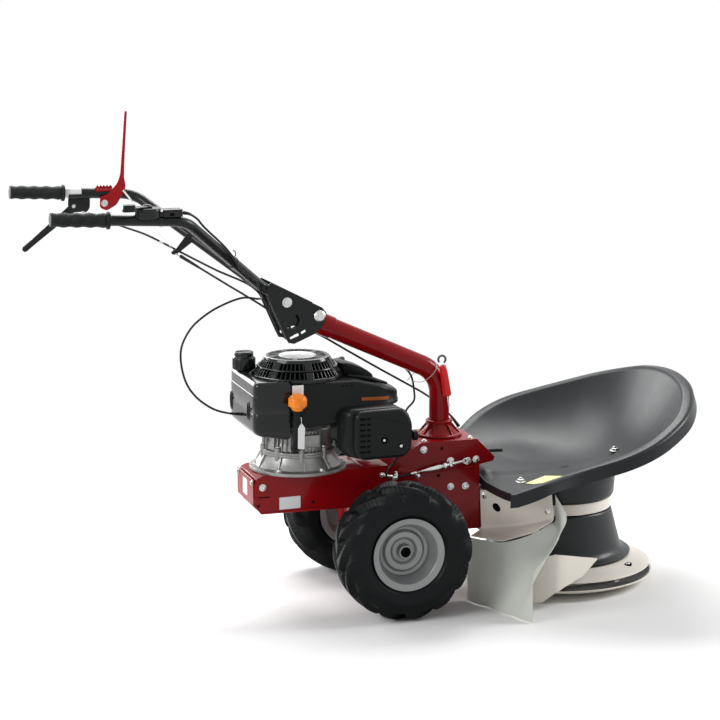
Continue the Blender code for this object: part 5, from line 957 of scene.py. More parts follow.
def oil_filler():
    """A bent pipe from the crankcase up to its ribbed orange cap, with two collars."""
    port_z = CASE_LOW + 0.0194
    way = np.array((-0.34, -0.94, 0.0)) / math.hypot(0.34, 0.94)
    start = np.array((ENGINE[0], 0.0, port_z)) + way * 0.078
    knee = np.array((-0.236, -0.122, port_z + 0.034))
    top = np.array((-0.237, -0.137, 0.507))
    path = smooth_path([start, start + way * 0.024 + (0, 0, 0.004), knee, top], 28)
    pipe = tube(path, 0.0105, 28, AHEAD, 0.0085)
    axis = (top - knee) / np.linalg.norm(top - knee)
    collars = [aimed(sleeve(0.0135, -0.006, 0.0, 0.009), top, axis),
               aimed(sleeve(0.013, -0.034, -0.028, 0.009), top, axis)]
    dressed("oil_filler_tube", joined(pipe, *collars))
    knob = turned([(0.0, 0.0), (0.0135, 0.0), (0.015, 0.006), (0.02, 0.01), (0.0223, 0.018), (0.0223, 0.024),
                   (0.02, 0.031), (0.015, 0.036), (0.0, 0.038)], 64, 0.002)
    ribs = around(box((0.019, -0.0016, 0.01), (0.0226, 0.0016, 0.028), 0.0006, 0.0012), 12)
    dressed("oil_cap", aimed(joined(knob, ribs), top + axis * 0.0003, axis))


def engine_labels():
    """The bare label behind the oil cap, and the bare tag that hangs from the pipe on its tie."""
    film = box((-0.244, -0.1195, 0.529), (-0.216, -0.119, 0.562), 0.001, 0.0001, "Y")
    piece("bare_cowl_label", film, WHITE, "chassis")
    tag = slab([(-0.237, 0.412), (-0.221, 0.41), (-0.219, 0.462), (-0.225, 0.472), (-0.23, 0.473),
                (-0.236, 0.464)], -0.14, -0.1406, "Y", 0.002)
    tie = smooth_path([(-0.2275, -0.1403, 0.469), (-0.2285, -0.142, 0.482), (-0.23, -0.145, 0.49)], 10)
    piece("bare_hang_tag", joined(tag, tube(tie, 0.0008, 8)), WHITE, "chassis")


FILTER_Y0, FILTER_Y1 = -0.18, -0.1105


def air_filter():
    """Rings of the side outline from the face inwards; the rear corner leans back towards the engine."""
    low, high, rear, front = 0.379, 0.503, -0.106, 0.041
    corners = [(rear, low + 0.022), (rear + 0.018, low), (front - 0.02, low + 0.002),
               (front - 0.002, low + 0.02), (front, high - 0.04), (front - 0.012, high - 0.01),
               (front - 0.03, high), (rear + 0.014, high - 0.002), (rear, high - 0.014)]
    outline = softened(corners, 0.012, 5)
    seam = inset(outline, 0.0012)

    def lean(flat, back):
        """The outline with its rear pushed back by an amount that fades towards the front."""
        return flat - np.column_stack([back * (front - flat[:, 0]) / (front - rear), 0.0 * flat[:, 0]])

    levels = []
    for a in np.linspace(0.0, np.pi / 2, 6):
        pull, depth = 0.0105 * (1.0 - math.sin(a)) + 0.0001, 0.014 * (1.0 - math.cos(a))
        levels.append((inset(outline, pull), FILTER_Y0 + depth))
    levels += [(outline, FILTER_Y0 + 0.022), (seam, FILTER_Y0 + 0.0235),
               (lean(seam, 0.006), FILTER_Y0 + 0.0255), (lean(outline, 0.007), FILTER_Y0 + 0.027),
               (lean(outline, 0.024), FILTER_Y0 + 0.052), (lean(outline, 0.024), FILTER_Y1)]
    rings = [np.column_stack([flat[:, 0], np.full(len(flat), y), flat[:, 1]]) for flat, y in levels]
    fold = smooth_path([(-0.048, -0.1803, 0.487), (-0.01, -0.1806, 0.476), (0.024, -0.1795, 0.466)], 16)
    dressed("air_filter_box", joined(lofted(rings), tube(fold, 0.0016, 10, LEFT)), crease=50.0)


def filter_details():
    """Seven pairs of slots, two sunk screws and the knob in front."""
    slots = []
    for z in 0.399 + 0.0135 * np.arange(7):
        for rear, front in ((-0.094, -0.08), (-0.077, -0.068)):
            slots.append(box((rear, -0.1806, z), (front, -0.179, z + 0.005), 0.0015, 0.0003, "Y"))
    for x, z, r in ((-0.0325, 0.4275, 0.009), (0.009, 0.411, 0.0065)):
        slots.append(aimed(sleeve(r, 0.0, 0.0004, count=32, soft=0.0), (x, FILTER_Y0, z), RIGHT))
    piece("filter_slots", joined(*slots), HOLE, "chassis")
    screws = [aimed(turned([(0.0, 0.0), (r, 0.0), (r, 0.002), (0.0, 0.003)], 24, 0.0008), (x, -0.1803, z),
                    RIGHT)
              for x, z, r in ((-0.0335, 0.4275, 0.0033), (0.009, 0.411, 0.0038))]
    piece("filter_screws", joined(*screws), STEEL, "chassis")
    knob = turned([(0.0, 0.0), (0.0065, 0.0), (0.0065, 0.006), (0.0125, 0.008), (0.0125, 0.02), (0.0, 0.021)],
                  32, 0.0022)
    piece("filter_knob", aimed(knob, (0.04, -0.15, 0.428), AHEAD), MOULDING, "chassis", "black_moulding")


def carburettor():
    """A flanged throat from the filter to the cylinder, and the linkage round it."""
    throat = turned([(0.008, 0.0), (0.016, 0.0), (0.016, 0.01), (0.013, 0.012), (0.013, 0.046), (0.02, 0.05),
                     (0.02, 0.0595), (0.008, 0.0595)], 48, 0.001)
    at = (-0.04, FILTER_Y1 + 0.0003, CYLINDER_Z)
    dressed("carburettor", aimed(throat, at, LEFT))
    linkage = [box((-0.078, -0.102, 0.412), (-0.056, -0.06, 0.44), 0.003, 0.002),
               box((-0.062, -0.104, 0.392), (-0.018, -0.078, 0.41), 0.005, 0.004),
               aimed(sleeve(0.0022, 0.0, 0.04, count=16), (-0.076, -0.094, 0.448), AHEAD),
               box((-0.1, -0.098, 0.386), (-0.094, -0.078, 0.452), 0.002, 0.001),
               box((-0.086, -0.1, 0.386), (-0.081, -0.078, 0.452), 0.002, 0.001)]
    piece("carburettor_linkage", joined(*linkage), CAST, "chassis")


def silencer():
    """The box on the left with its guard: nine upright bars between two rails."""
    (rear, low), (front, high), face = (-0.086, 0.386), (0.03, 0.478), 0.172
    eased("muffler", 0.003)
    guard = []
    for x in rear + 0.01 + 0.012 * np.arange(9):
        guard.append(box((x, face + 0.0005, low + 0.01), (x + 0.0055, face + 0.004, high - 0.01), 0.001,
                         0.0008, "Y"))
    for foot in (low + 0.008, high - 0.016):
        guard.append(box((rear + 0.006, face, foot), (front - 0.006, face + 0.003, foot + 0.008), 0.002,
                         0.001, "Y"))
    piece("muffler_guard", joined(*guard), STEEL, "chassis")


# Steering column

COLUMN = (0.169, 0.0, 0.0)
COLUMN_FOOT = HOOD_TOP + 0.0003
BEND_R = 0.08
SLOPE = math.radians(24.45)
SLOPE_WAY = np.array((-math.cos(SLOPE), 0.0, math.sin(SLOPE)))
PIVOT = (-0.154, 0.0, 0.714)


def column_path():
    """Up from the hood, round one bend, then along the slope to the bars."""
    foot, corner = np.array((COLUMN[0], 0.0, COLUMN_FOOT + 0.002)), np.array((COLUMN[0], 0.0, 0.548))
    half = (np.pi / 2 + SLOPE) / 2
    reach = BEND_R / math.tan(half)
    inward = SLOPE_WAY - UP
    centre = corner + inward / np.linalg.norm(inward) * BEND_R / math.sin(half)
    one, two = corner - (0.0, 0.0, reach) - centre, corner + SLOPE_WAY * reach - centre
    span = math.acos(np.dot(one, two) / BEND_R ** 2)
    t = np.linspace(0.0, 1.0, 22)[:, None]
    bend = centre + (np.sin((1 - t) * span) * one + np.sin(t * span) * two) / math.sin(span)
    slope = [corner + SLOPE_WAY * 0.2, corner + SLOPE_WAY * 0.358]
    return np.concatenate([[foot, foot + (0.0, 0.0, 0.02)], bend, slope])


def column_base():
    """A stepped flange on the hood with eight gussets."""
    low, bore = COLUMN_FOOT, 0.026
    ring = [(bore, low), (0.057, low), (0.057, low + 0.006), (0.049, low + 0.0075), (0.036, low + 0.02),
            (0.0315, low + 0.026), (0.0315, low + 0.033), (0.0335, low + 0.034), (0.0335, low + 0.038),
            (0.031, low + 0.04), (bore, low + 0.04)]
    gusset = slab([(0.03, low + 0.006), (0.053, low + 0.006), (0.033, low + 0.031), (0.03, low + 0.031)],
                  -0.002, 0.002, "Y", 0.001, 0.0008)
    base = joined(turned(ring, 96, 0.0012), around(gusset, 8, start=0.39))
    dressed("column_base", moved(base, COLUMN))


def column_tube():
    """The bent tube with the pivot's eye across its upper end, a collar behind it and the lock sleeve's
    web."""
    path = column_path()
    end = path[-1]
    eye = [(0.0085, -0.0417), (0.017, -0.0417), (0.017, 0.0417), (0.0085, 0.0417)]
    collar = tube([end - SLOPE_WAY * back for back in (0.052, 0.05, 0.012, 0.01)],
                  [0.0254, 0.0272, 0.0272, 0.0254], 48)
    web = box((0.166, -0.0375, 0.508), (0.176, -0.019, 0.552), 0.002, 0.001)
    shape = joined(tube(path, 0.025, 48, bore=0.0215), aimed(turned(eye, 48, 0.0012), PIVOT, LEFT), collar,
                   web)
    dressed("column_tube", shape)


def steering_lock():
    """The red sleeve with its pin and wire loop, and the pale wire that is wound round the column."""
    low, high = np.array((0.177, -0.0375, 0.497)), np.array((0.165, -0.0375, 0.572))
    length = float(np.linalg.norm(high - low))
    way = (high - low) / length
    barrel = [(0.0034, -0.001), (0.0095, -0.001), (0.0105, 0.003), (0.0098, length - 0.018),
              (0.0078, length - 0.004), (0.0062, length + 0.002), (0.0034, length + 0.002)]
    piece("lock_sleeve", aimed(turned(barrel, 48, 0.0014), low, way), LOCK_RED, "column")
    wire = smooth_path([(0.0895, -0.02, 0.535), (0.11, -0.031, 0.533), (0.133, -0.033, 0.544),
                        (0.15, -0.03, 0.562), (0.156, -0.01, 0.574), (0.15, 0.015, 0.572),
                        (0.13, 0.03, 0.556), (0.106, 0.029, 0.538), (0.09, 0.012, 0.53)], 60)
    piece("column_wire_ring", tube(wire, 0.0009, 8, UP), PALE_GREY, "column")
    stem = [low - way * 0.03, low, high, high + way * 0.003]
    dressed("lock_pin", tube(stem, 0.0022, 20))
    t = np.linspace(math.radians(-58.0), math.radians(222.0), 34)
    loop = high + way * 0.016 + 0.0095 * np.column_stack([np.cos(t), np.zeros(34), np.sin(t)])
    piece("lock_pin_loop", tube(loop, 0.0028, 20), IRON, "steering_lock")


# Handlebar

BAR_Y, BAR_R = 0.2727, 0.0125
BAR_START, BAR_BEND = (-0.834, 1.0015), (-0.5363, 0.9875)
BRACKET_Y = 0.0463          # the bracket plates' outer faces


def bar_z(x):
    """Height of the straight end of a bar at x."""
    return BAR_START[1] + (BAR_BEND[1] - BAR_START[1]) * (x - BAR_START[0]) / (BAR_BEND[0] - BAR_START[0])


BAR_WAY = np.array((BAR_BEND[0] - BAR_START[0], 0.0, BAR_BEND[1] - BAR_START[1]))
BAR_WAY /= np.linalg.norm(BAR_WAY)


def rounded(corners, radii, steps=14):
    """Straight runs whose inner corners follow circles of the given radii."""
    corners = [np.array(c, float) for c in corners]
    path = [corners[0][None]]
    for before, corner, after, radius in zip(corners, corners[1:], corners[2:], radii):
        one, two = before - corner, after - corner
        one, two = one / np.linalg.norm(one), two / np.linalg.norm(two)
        half = math.acos(np.dot(one, two)) / 2
        middle = (one + two) / np.linalg.norm(one + two)
        centre = corner + middle * radius / math.sin(half)
        first, last = (corner + side * radius / math.tan(half) - centre for side in (one, two))
        span = math.acos(np.clip(np.dot(first, last) / radius ** 2, -1.0, 1.0))
        t = np.linspace(0.0, 1.0, steps)[:, None]
        path.append(centre + (np.sin((1 - t) * span) * first + np.sin(t * span) * last) / math.sin(span))
    path.append(corners[-1][None])
    return np.concatenate(path)


def handle_path(side):
    """One bar, from its grip's end to the bracket: straight, one wide bend, and one tight bend."""
    return rounded([(BAR_START[0], side * BAR_Y, BAR_START[1]), (BAR_BEND[0], side * BAR_Y, BAR_BEND[1]),
                    (-0.297, side * 0.029, 0.793), (-0.232, side * 0.029, 0.752)], [0.07, 0.03])


def grip():
    """A turned sleeve whose radius swells four times along it, with fine rings cut into it and a flange."""
    z = np.linspace(0.004, 0.122, 118)
    radius = 0.0158 + 0.001 * np.cos(z * 2.0 * np.pi / 0.03) - 0.0006 * (np.arange(118) % 3 == 0)
    end = [(0.0, 0.0), (0.0135, 0.0), (0.0155, 0.0015)]
    flange = [(0.016, 0.126), (0.0198, 0.1275), (0.02, 0.133), (0.018, 0.134), (0.0133, 0.134), (0.0, 0.134)]
    return turned(np.concatenate([end, np.column_stack([radius, z]), flange]), 56)


def bars():
    """On each side the bracket plate, the bent tube with its grip, and the bracket's bolts."""
    arm = [(-0.408, 0.8832), (-0.433, 0.903), (-0.4374, 0.8963), (-0.461, 0.8657), (-0.4736, 0.8576),
           (-0.4719, 0.8522), (-0.463, 0.8501), (-0.4504, 0.8583), (-0.4234, 0.8781)]
    for side, word in ((-1.0, "right"), (1.0, "left")):
        eased(f"bracket_plate_{word}", 0.0008)
        shape = [tube(handle_path(side), BAR_R, 40, UP, 0.0105)]
        if side > 0:
            shape.append(slab(arm, 0.139, 0.145, "Y", 0.0015, 0.001))
        dressed(f"handle_tube_{word}", joined(*shape))
        base = (-0.842, side * BAR_Y, 1.0016)
        dressed(f"grip_{word}", aimed(grip(), base, BAR_WAY))
        cap = turned([(0.0, -0.0002), (0.015, -0.0002), (0.0152, 0.0012), (0.0, 0.0012)], 48)
        piece(f"grip_end_{word}", aimed(cap, base, BAR_WAY), GRIP_END, "handlebar")
        y, outward = side * BRACKET_Y, (0.0, side, 0.0)
        piece(f"bracket_bolt_{word}", bolt((-0.235, y, 0.751), outward, 0.009), STEEL, "handlebar")
        small = [bolt((-0.252, y, 0.7755), outward, 0.0045), bolt((-0.2405, y, 0.701), outward, 0.004)]
        piece(f"bracket_screws_{word}", joined(*small), GLOSS, "handlebar")


def pivot_bolt():
    """A pin through the bracket plates and the column's eye, with a domed head at each end."""
    out = BRACKET_Y
    head = [(0.0, out + 0.0085), (0.01, out + 0.008), (0.0148, out + 0.0045), (0.015, out), (0.008, out)]
    foot = [(r, -y) for r, y in reversed(head)]
    dressed("handle_pivot_bolt", aimed(turned(head + foot, 64, 0.001), PIVOT, LEFT))


def handle_braces():
    """Two thin ties that run down inside the bracket, and the round brace between the bars."""
    tie = rounded([(-0.286, -0.0255, 0.783), (-0.233, -0.0255, 0.66), (-0.218, -0.0255, 0.652),
                   (-0.2, -0.0255, 0.659)], [0.01, 0.01], 8)
    ties = [tube(smooth_path(tie * (1.0, -side, 1.0), 30), 0.0032, 12) for side in (-1.0, 1.0)]
    brace = tube([(-0.34, -0.066, 0.826), (-0.34, 0.066, 0.826)], 0.007, 24, UP)
    piece("handle_braces", joined(*ties, brace), BLACK, "handlebar", "black_enamel")


def cable_tie():
    """A flat ring round the right bar that holds the throttle cable, and its curled tail."""
    at = np.array((-0.3863, -0.1199, 0.8655))
    along = np.array((0.2393, 0.2437, -0.1945))
    along /= np.linalg.norm(along)
    one = np.cross(along, UP)
    one /= np.linalg.norm(one)
    two = np.cross(one, along)
    t = np.linspace(0.0, 2.0 * np.pi, 33)[:-1, None]
    ring = [at + along * w + r * (np.cos(t) * one + np.sin(t) * two)
            for r, w in ((0.0127, -0.0018), (0.0136, -0.0018), (0.0136, 0.0018), (0.0127, 0.0018))]
    tail = smooth_path([at + two * up + along * on
                        for up, on in ((0.013, 0.0), (0.02, 0.003), (0.026, -0.004), (0.024, -0.013))], 14)
    piece("bar_cable_tie", joined(lofted(ring, closed=True), tube(tail, 0.0012, 10)), SHEATH, "handlebar",
          "cable_sheath")


# Controls

def throttle():
    """A round housing with a flat box in front of it on the right bar, and the bent lever on top."""
    x, y, top = -0.6225, -BAR_Y, 1.021
    low = bar_z(x) + 0.006
    middle = (x, y, 0.0)
    puck = [(0.0, low), (0.0292, low), (0.03, low + 0.003), (0.03, top - 0.0045), (0.0294, top - 0.004),
            (0.0294, top - 0.0015), (0.0284, top - 0.0002), (0.02, top), (0.0, top)]
    body = joined(box((-0.5885, y - 0.015, 0.999), (-0.544, y + 0.015, 1.011), 0.003, 0.001),
                  box((-0.615, y - 0.013, low + 0.003), (-0.58, y + 0.013, 1.0125), 0.003, 0.001))
    lid = box((-0.5885, y - 0.0155, 1.01), (-0.544, y + 0.0155, 1.0165), 0.004, 0.0015)
    groove = turned([(r, top + z) for r, z in ((0.021, -0.0005), (0.023, -0.0005), (0.023, 0.0002),
                                               (0.021, 0.0002))], 64)
    band = tube([(-0.5965, y, bar_z(-0.5965)), (-0.5885, y, bar_z(-0.5885))], 0.0133, 40, UP)
    shape = joined(moved(turned(puck, 72, 0.001), middle), body, lid, moved(groove, middle), band)
    dressed("throttle_housing", shape, GLOSS)
    notch = box((-0.574, y - 0.0154, 1.002), (-0.564, y - 0.014, 1.0085), 0.0005, 0.0)
    piece("throttle_notch", notch, HOLE, "handlebar")
    t = np.linspace(-0.7, 2.27, 14)
    hub = np.column_stack([x + 0.0118 * np.cos(t), y + 0.0118 * np.sin(t)])
    rest = [(x - 0.011, y + 0.007), (-0.681, -0.3), (-0.684, -0.307), (-0.679, -0.3135), (-0.671, -0.3135),
            (x + 0.001, y - 0.0115)]
    blade = slab(np.concatenate([hub, rest]), top + 0.0004, top + 0.0043, "Z", 0.0015, 0.001)
    paddle = box((-0.686, -0.317, top - 0.004), (-0.658, -0.299, top + 0.0125), 0.004, 0.002)
    boss = turned([(0.0, top + 0.003), (0.0085, top + 0.003), (0.008, top + 0.0068), (0.0, top + 0.0072)], 40,
                  0.0008)
    dressed("throttle_lever", joined(blade, paddle, moved(boss, middle)))


def shell_arc(outer, inner, start, end, count):
    """Section of a thin shell: an arc out and the same arc back on a smaller radius."""
    return np.concatenate([arc((0.0, 0.0), outer, start, end, count),
                           arc((0.0, 0.0), inner, start, end, count)[::-1]])


def clutch_controls():
    """A cup and a plate below the left bar, their bolts, and the flat lever in its rubber sleeve."""
    y, drop = BAR_Y, 0.0135
    cup = slab(shell_arc(0.015, 0.0129, 186.0, 354.0, 21) + (y, bar_z(-0.672)), -0.7, -0.645, "X")
    plate = slab([(-0.7, bar_z(-0.7) - drop), (-0.645, bar_z(-0.645) - drop), (-0.646, 0.957),
                  (-0.652, 0.948), (-0.7, 0.946)], y - 0.002, y + 0.002, "Y", 0.003, 0.0008)
    stud = aimed(sleeve(0.0034, -0.002, 0.0115, count=24, soft=0.0006), (-0.686, y, 0.958), LEFT)
    dressed("clutch_bracket", joined(cup, plate, stud))
    bolts = [bolt((-0.686, y + 0.0076, 0.958), LEFT, 0.0052), bolt((-0.686, y - 0.002, 0.962), RIGHT, 0.0034)]
    piece("clutch_bolts", joined(*bolts), STEEL, "handlebar")
    tip, root = np.array((-0.8105, 0.858)), np.array((-0.686, 0.958))
    along = (tip - root) / np.linalg.norm(tip - root)
    across = np.array((-along[1], along[0]))

    def spot(start, on, up):
        """A place so far on and so far across from a point of the lever's middle line."""
        return start + along * on + across * up

    bar = [spot(tip, on, up) for on, up in ((-0.006, -0.0066), (0.0015, -0.0055), (0.003, 0.0),
                                            (0.0015, 0.0055), (-0.006, 0.0066))]
    hub = arc(root, 0.0108, 310.0, 490.0, 14)
    lever = slab(np.concatenate([hub, bar]), y + 0.0023, y + 0.0073, "Y", 0.002, 0.0016)
    dressed("clutch_lever", lever)
    coat = [spot(root, 0.06, -0.0072), spot(tip, -0.001, -0.0072), spot(tip, 0.003, 0.0),
            spot(tip, -0.001, 0.0072), spot(root, 0.06, 0.0072)]
    piece("clutch_lever_sleeve", slab(coat, y + 0.0013, y + 0.0083, "Y", 0.003, 0.0024), GRIP, "clutch",
          "grip_rubber")


def lever_mount():
    """The red lever's ear and its saddle on the bar, with a rack of five teeth, and the pivot's bolts."""
    ear = slab([(-0.6235, 0.96), (-0.604, 0.956), (-0.59, 0.984), (-0.6, 0.9925), (-0.6235, 0.984)], 0.2562,
               0.2592, "Y", 0.003, 0.0008)
    top, rear, front = bar_z(-0.61), -0.6315, -0.59
    saddle = slab(shell_arc(0.0152, 0.0127, 28.0, 152.0, 15) + (BAR_Y, top), rear, front, "X")
    rack = [(rear, top + 0.0128), (rear, top + 0.017)]
    for at in 0.008 * np.arange(5):
        rack += [(-0.63 + at, top + 0.0175), (-0.628 + at, top + 0.0222), (-0.6235 + at, top + 0.0175)]
    rack += [(front, top + 0.017), (front, top + 0.0128)]
    shape = joined(ear, saddle, slab(rack, BAR_Y - 0.005, BAR_Y + 0.005, "Y", 0.0006))
    dressed("lever_mount", shape, LEVER_RED)
    bolts = [bolt((-0.613, 0.256, 0.969), LEFT, 0.005, False), bolt((-0.613, 0.2525, 0.969), RIGHT, 0.0062)]
    piece("lever_mount_bolt", joined(*bolts), STEEL, "handlebar")


def red_lever():
    """A tall blade and the fold along its rear edge."""
    blade = softened([(-0.6245, 0.958), (-0.608, 0.95), (-0.583, 0.964), (-0.566, 0.992), (-0.559, 1.008),
                      (-0.564, 1.036), (-0.553, 1.193), (-0.559, 1.193), (-0.5725, 1.04), (-0.58, 1.018),
                      (-0.604, 0.99), (-0.6245, 0.979)], 0.006, 4)
    fold = softened([(-0.568, 1.0), (-0.559, 1.009), (-0.564, 1.036), (-0.5535, 1.192), (-0.5575, 1.192),
                     (-0.57, 1.038), (-0.564, 1.012)], 0.003, 3)
    shape = joined(slab(blade, 0.2525, 0.2555, "Y", 0.0, 0.0008), slab(fold, 0.2555, 0.264, "Y", 0.0, 0.0008))
    dressed("red_lever", shape, LEVER_RED)


def left_bar_details():
    """The bare label on the left bar, the thin wire from the red lever, and the cables' adjusters."""
    at = np.array((-0.688, BAR_Y, bar_z(-0.688)))
    film = tube([at - BAR_WAY * 0.02, at + BAR_WAY * 0.02], 0.01275, 40, UP)
    piece("bare_bar_label", film, WHITE, "handlebar")
    joint = (-0.548, 0.23, 0.972)
    rod = tube([(-0.568, 0.244, 1.0), joint], 0.0022, 12, UP)
    line = tube([joint, (-0.51, 0.195, 0.92), (-0.468, 0.142, 0.862)], 0.0006, 8, UP)
    piece("brake_wire", joined(rod, line), NYLON, "handlebar")
    barrels = [tube([(-0.464, 0.14, 0.853), (-0.452, 0.1395, 0.8472)], 0.0024, 16, UP),
               tube([(-0.4935, 0.1775, 0.8795), (-0.485, 0.1725, 0.8755)], 0.0038, 16, UP)]
    piece("cable_adjusters", joined(*barrels), STEEL, "handlebar")


def tension_rod():
    """The clutch rod from its cable's ferrule to the roller's eye: a stepped spindle with a hexagon nut."""
    low, high = np.array((0.093, -0.0865, 0.321)), np.array((0.205, -0.0865, 0.3395))
    length = float(np.linalg.norm(high - low))
    way = (high - low) / length
    spindle = [(0.0, -0.001), (0.0026, -0.001), (0.005, 0.018), (0.0062, 0.034), (0.0066, 0.052),
               (0.0045, 0.054), (0.0045, 0.058), (0.0078, 0.0585), (0.0078, 0.0655), (0.0035, 0.067),
               (0.0035, 0.074), (0.0052, 0.0745), (0.0052, 0.083), (0.0035, 0.084), (0.0035, length),
               (0.0, length)]
    nut = sleeve(0.0078, -0.004, 0.004, count=6, soft=0.0004)
    eye = turned([(0.0035, -0.0035), (0.0072, -0.0035), (0.0072, 0.0035), (0.0035, 0.0035)], 32, 0.0008)
    wire = tube([low - way * 0.015, low + way * 0.002], 0.0009, 12, UP)
    ferrule = turned([(0.0016, 0.0), (0.0036, 0.0), (0.0036, 0.013), (0.003, 0.015), (0.0016, 0.015)], 32,
                     0.0004)
    piece("clutch_cable_ferrule", aimed(ferrule, low - way * 0.0275, way), STEEL, "chassis")
    shape = joined(aimed(turned(spindle, 40, 0.0006), low, way), aimed(nut, low + way * 0.078, way),
                   aimed(eye, high + way * 0.002, LEFT), wire)
    dressed("tension_rod", shape)


def cable_clamp():
    """The rod's end pin, and the clamp of the clutch cable with its sleeve and bolts."""
    pin = turned([(0.0, -0.002), (0.0032, -0.002), (0.0032, 0.014), (0.0, 0.014)], 24, 0.0006)
    barrel = turned([(0.003, 0.0), (0.0055, 0.0), (0.0055, 0.012), (0.003, 0.012)], 24, 0.0006)
    shape = joined(aimed(pin, (0.217, -0.0755, 0.3405), RIGHT),
                   box((0.026, -0.08, 0.306), (0.034, -0.0757, 0.324), 0.002, 0.001, "Y"),
                   aimed(barrel, (0.018, -0.087, 0.3095), (1.0, 0.0, 0.05)),
                   bolt((0.03, -0.08, 0.312), RIGHT, 0.0048), bolt((-0.004, -0.0757, 0.316), RIGHT, 0.0052),
                   bolt((0.088, -0.0757, 0.308), RIGHT, 0.0044))
    piece("cable_clamp", shape, STEEL, "chassis")


def return_spring():
    """A helix of twelve turns along a straight axis."""
    share = np.linspace(0.0, 1.0, 140)[:, None]
    turn = share * 2.0 * np.pi * 12
    axis = np.array((-0.01, -0.083, 0.319)) + share * np.array((0.03, -0.002, -0.006))
    coil = axis + 0.0036 * np.column_stack([0.0 * turn, np.cos(turn), np.sin(turn)])
    piece("return_spring", tube(coil, 0.0007, 6, (0.3, 1.0, 0.2)), STEEL, "chassis")


# Cords

CABLE_R = 0.0026
CABLES = {
    "throttle": [
        (-0.5394, -0.2727, 1.0062), (-0.527, -0.27, 1.0035), (-0.5052, -0.257, 0.9898),
        (-0.4881, -0.2373, 0.9721), (-0.4653, -0.2128, 0.9513), (-0.4417, -0.1884, 0.9314),
        (-0.4158, -0.1706, 0.9063), (-0.3932, -0.1502, 0.8802), (-0.3689, -0.1222, 0.8498),
        (-0.3378, -0.0906, 0.8245), (-0.3138, -0.0663, 0.805), (-0.3, -0.05, 0.777), (-0.292, -0.03, 0.763),
        (-0.296, -0.01, 0.757), (-0.331, 0.0, 0.76), (-0.3913, 0.0, 0.741), (-0.4332, 0.0, 0.7167),
        (-0.4633, 0.0, 0.689), (-0.486, 0.0, 0.641), (-0.478, 0.0, 0.57), (-0.453, 0.0, 0.527),
        (-0.41, 0.0, 0.493), (-0.374, 0.0, 0.48), (-0.3376, 0.0, 0.475)],
    "clutch": [
        (-0.652, 0.2727, 0.942), (-0.605, 0.269, 0.924), (-0.5689, 0.25, 0.91), (-0.5239, 0.202, 0.895),
        (-0.4844, 0.172, 0.875), (-0.4479, 0.15, 0.855), (-0.3776, 0.09, 0.8176), (-0.296, 0.04, 0.7774),
        (-0.262, 0.018, 0.735), (-0.225, 0.016, 0.702), (-0.175, 0.023, 0.683), (-0.127, 0.03, 0.672),
        (-0.0073, 0.03, 0.62), (0.0527, 0.032, 0.588), (0.086, 0.033, 0.562), (0.104, 0.028, 0.54),
        (0.105, 0.006, 0.506), (0.096, -0.02, 0.485), (0.068, -0.042, 0.465), (0.058, -0.065, 0.425),
        (0.04, -0.084, 0.372), (0.01, -0.089, 0.335), (0.002, -0.088, 0.318), (0.015, -0.0868, 0.3085),
        (0.038, -0.0865, 0.3119), (0.0655, -0.0865, 0.3165)],
    "drive": [
        (-0.4515, 0.1395, 0.847), (-0.3642, 0.075, 0.7898), (-0.2757, 0.015, 0.7327), (-0.225, 0.018, 0.696),
        (-0.17, 0.028, 0.672), (-0.1302, 0.03, 0.6531), (-0.0534, 0.03, 0.6064), (0.0243, 0.03, 0.5593),
        (0.0766, 0.032, 0.5284), (0.145, 0.042, 0.4872), (0.181, 0.05, 0.46), (0.216, 0.052, 0.4275),
        (0.24, 0.05, 0.396)],
}
CUTS = {"throttle": 0.49, "clutch": 0.42, "drive": 0.34}        # share of each cable above the height pivot
UPPER_BEND = ((-0.4, 0.0, 0.85), (-0.23, 0.0, 0.7))       # two places given for the upper halves
LOWER_BENDS = {"throttle": ((-0.47, 0.0, 0.65), (-0.36, 0.0, 0.48)),
               "clutch": ((0.08, 0.0, 0.56), (0.04, 0.0, 0.37)),
               "drive": ((0.06, 0.0, 0.54), (0.23, 0.0, 0.4))}


def cord_frames(path):
    """Side directions along a path, each the last one turned with the tangent, so that the tube never
    twists."""
    tangent = np.gradient(path, axis=0)
    tangent /= np.linalg.norm(tangent, axis=1)[:, None]
    side = np.cross(tangent[0], (0.3, 0.2, 1.0))
    sides = []
    for t in tangent:
        side = side - t * np.dot(side, t)
        side = side / np.linalg.norm(side)
        sides.append(side)
    sides = np.array(sides)
    return sides, np.cross(sides, tangent)


def cord_mesh(path, radius, count=14):
    """A round section carried along a path on its untwisted frames; radius may be one value or one a
    point."""
    side, other = cord_frames(path)
    angle = 2.0 * np.pi * np.arange(count) / count
    radius = np.broadcast_to(radius, len(path))[:, None, None]
    return lofted(path[:, None] + radius * (np.cos(angle)[None, :, None] * side[:, None]
                                            + np.sin(angle)[None, :, None] * other[:, None]))


def run_length(path):
    """Length of a line of points."""
    return float(np.sum(np.linalg.norm(np.diff(np.asarray(path), axis=0), axis=1)))


def control_cables():
    """Each cable is one line, cut in two where it crosses the height pivot."""
    for word, route in CABLES.items():
        path = smooth_path(route, int(run_length(route) / 0.008))
        cut = int(len(path) * CUTS[word])
        for half, line, bodies, bend in (("upper", path[:cut + 1], ("handlebar", "column"), UPPER_BEND),
                                         ("lower", path[cut:], ("column", "chassis"), LOWER_BENDS[word])):
            made = piece(f"{word}_cable_{half}", cord_mesh(line, CABLE_R), SHEATH, None, "cable_sheath",
                         crease=60.0)
            if half == "upper":
                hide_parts(f"{word}_cable")
            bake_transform(made)


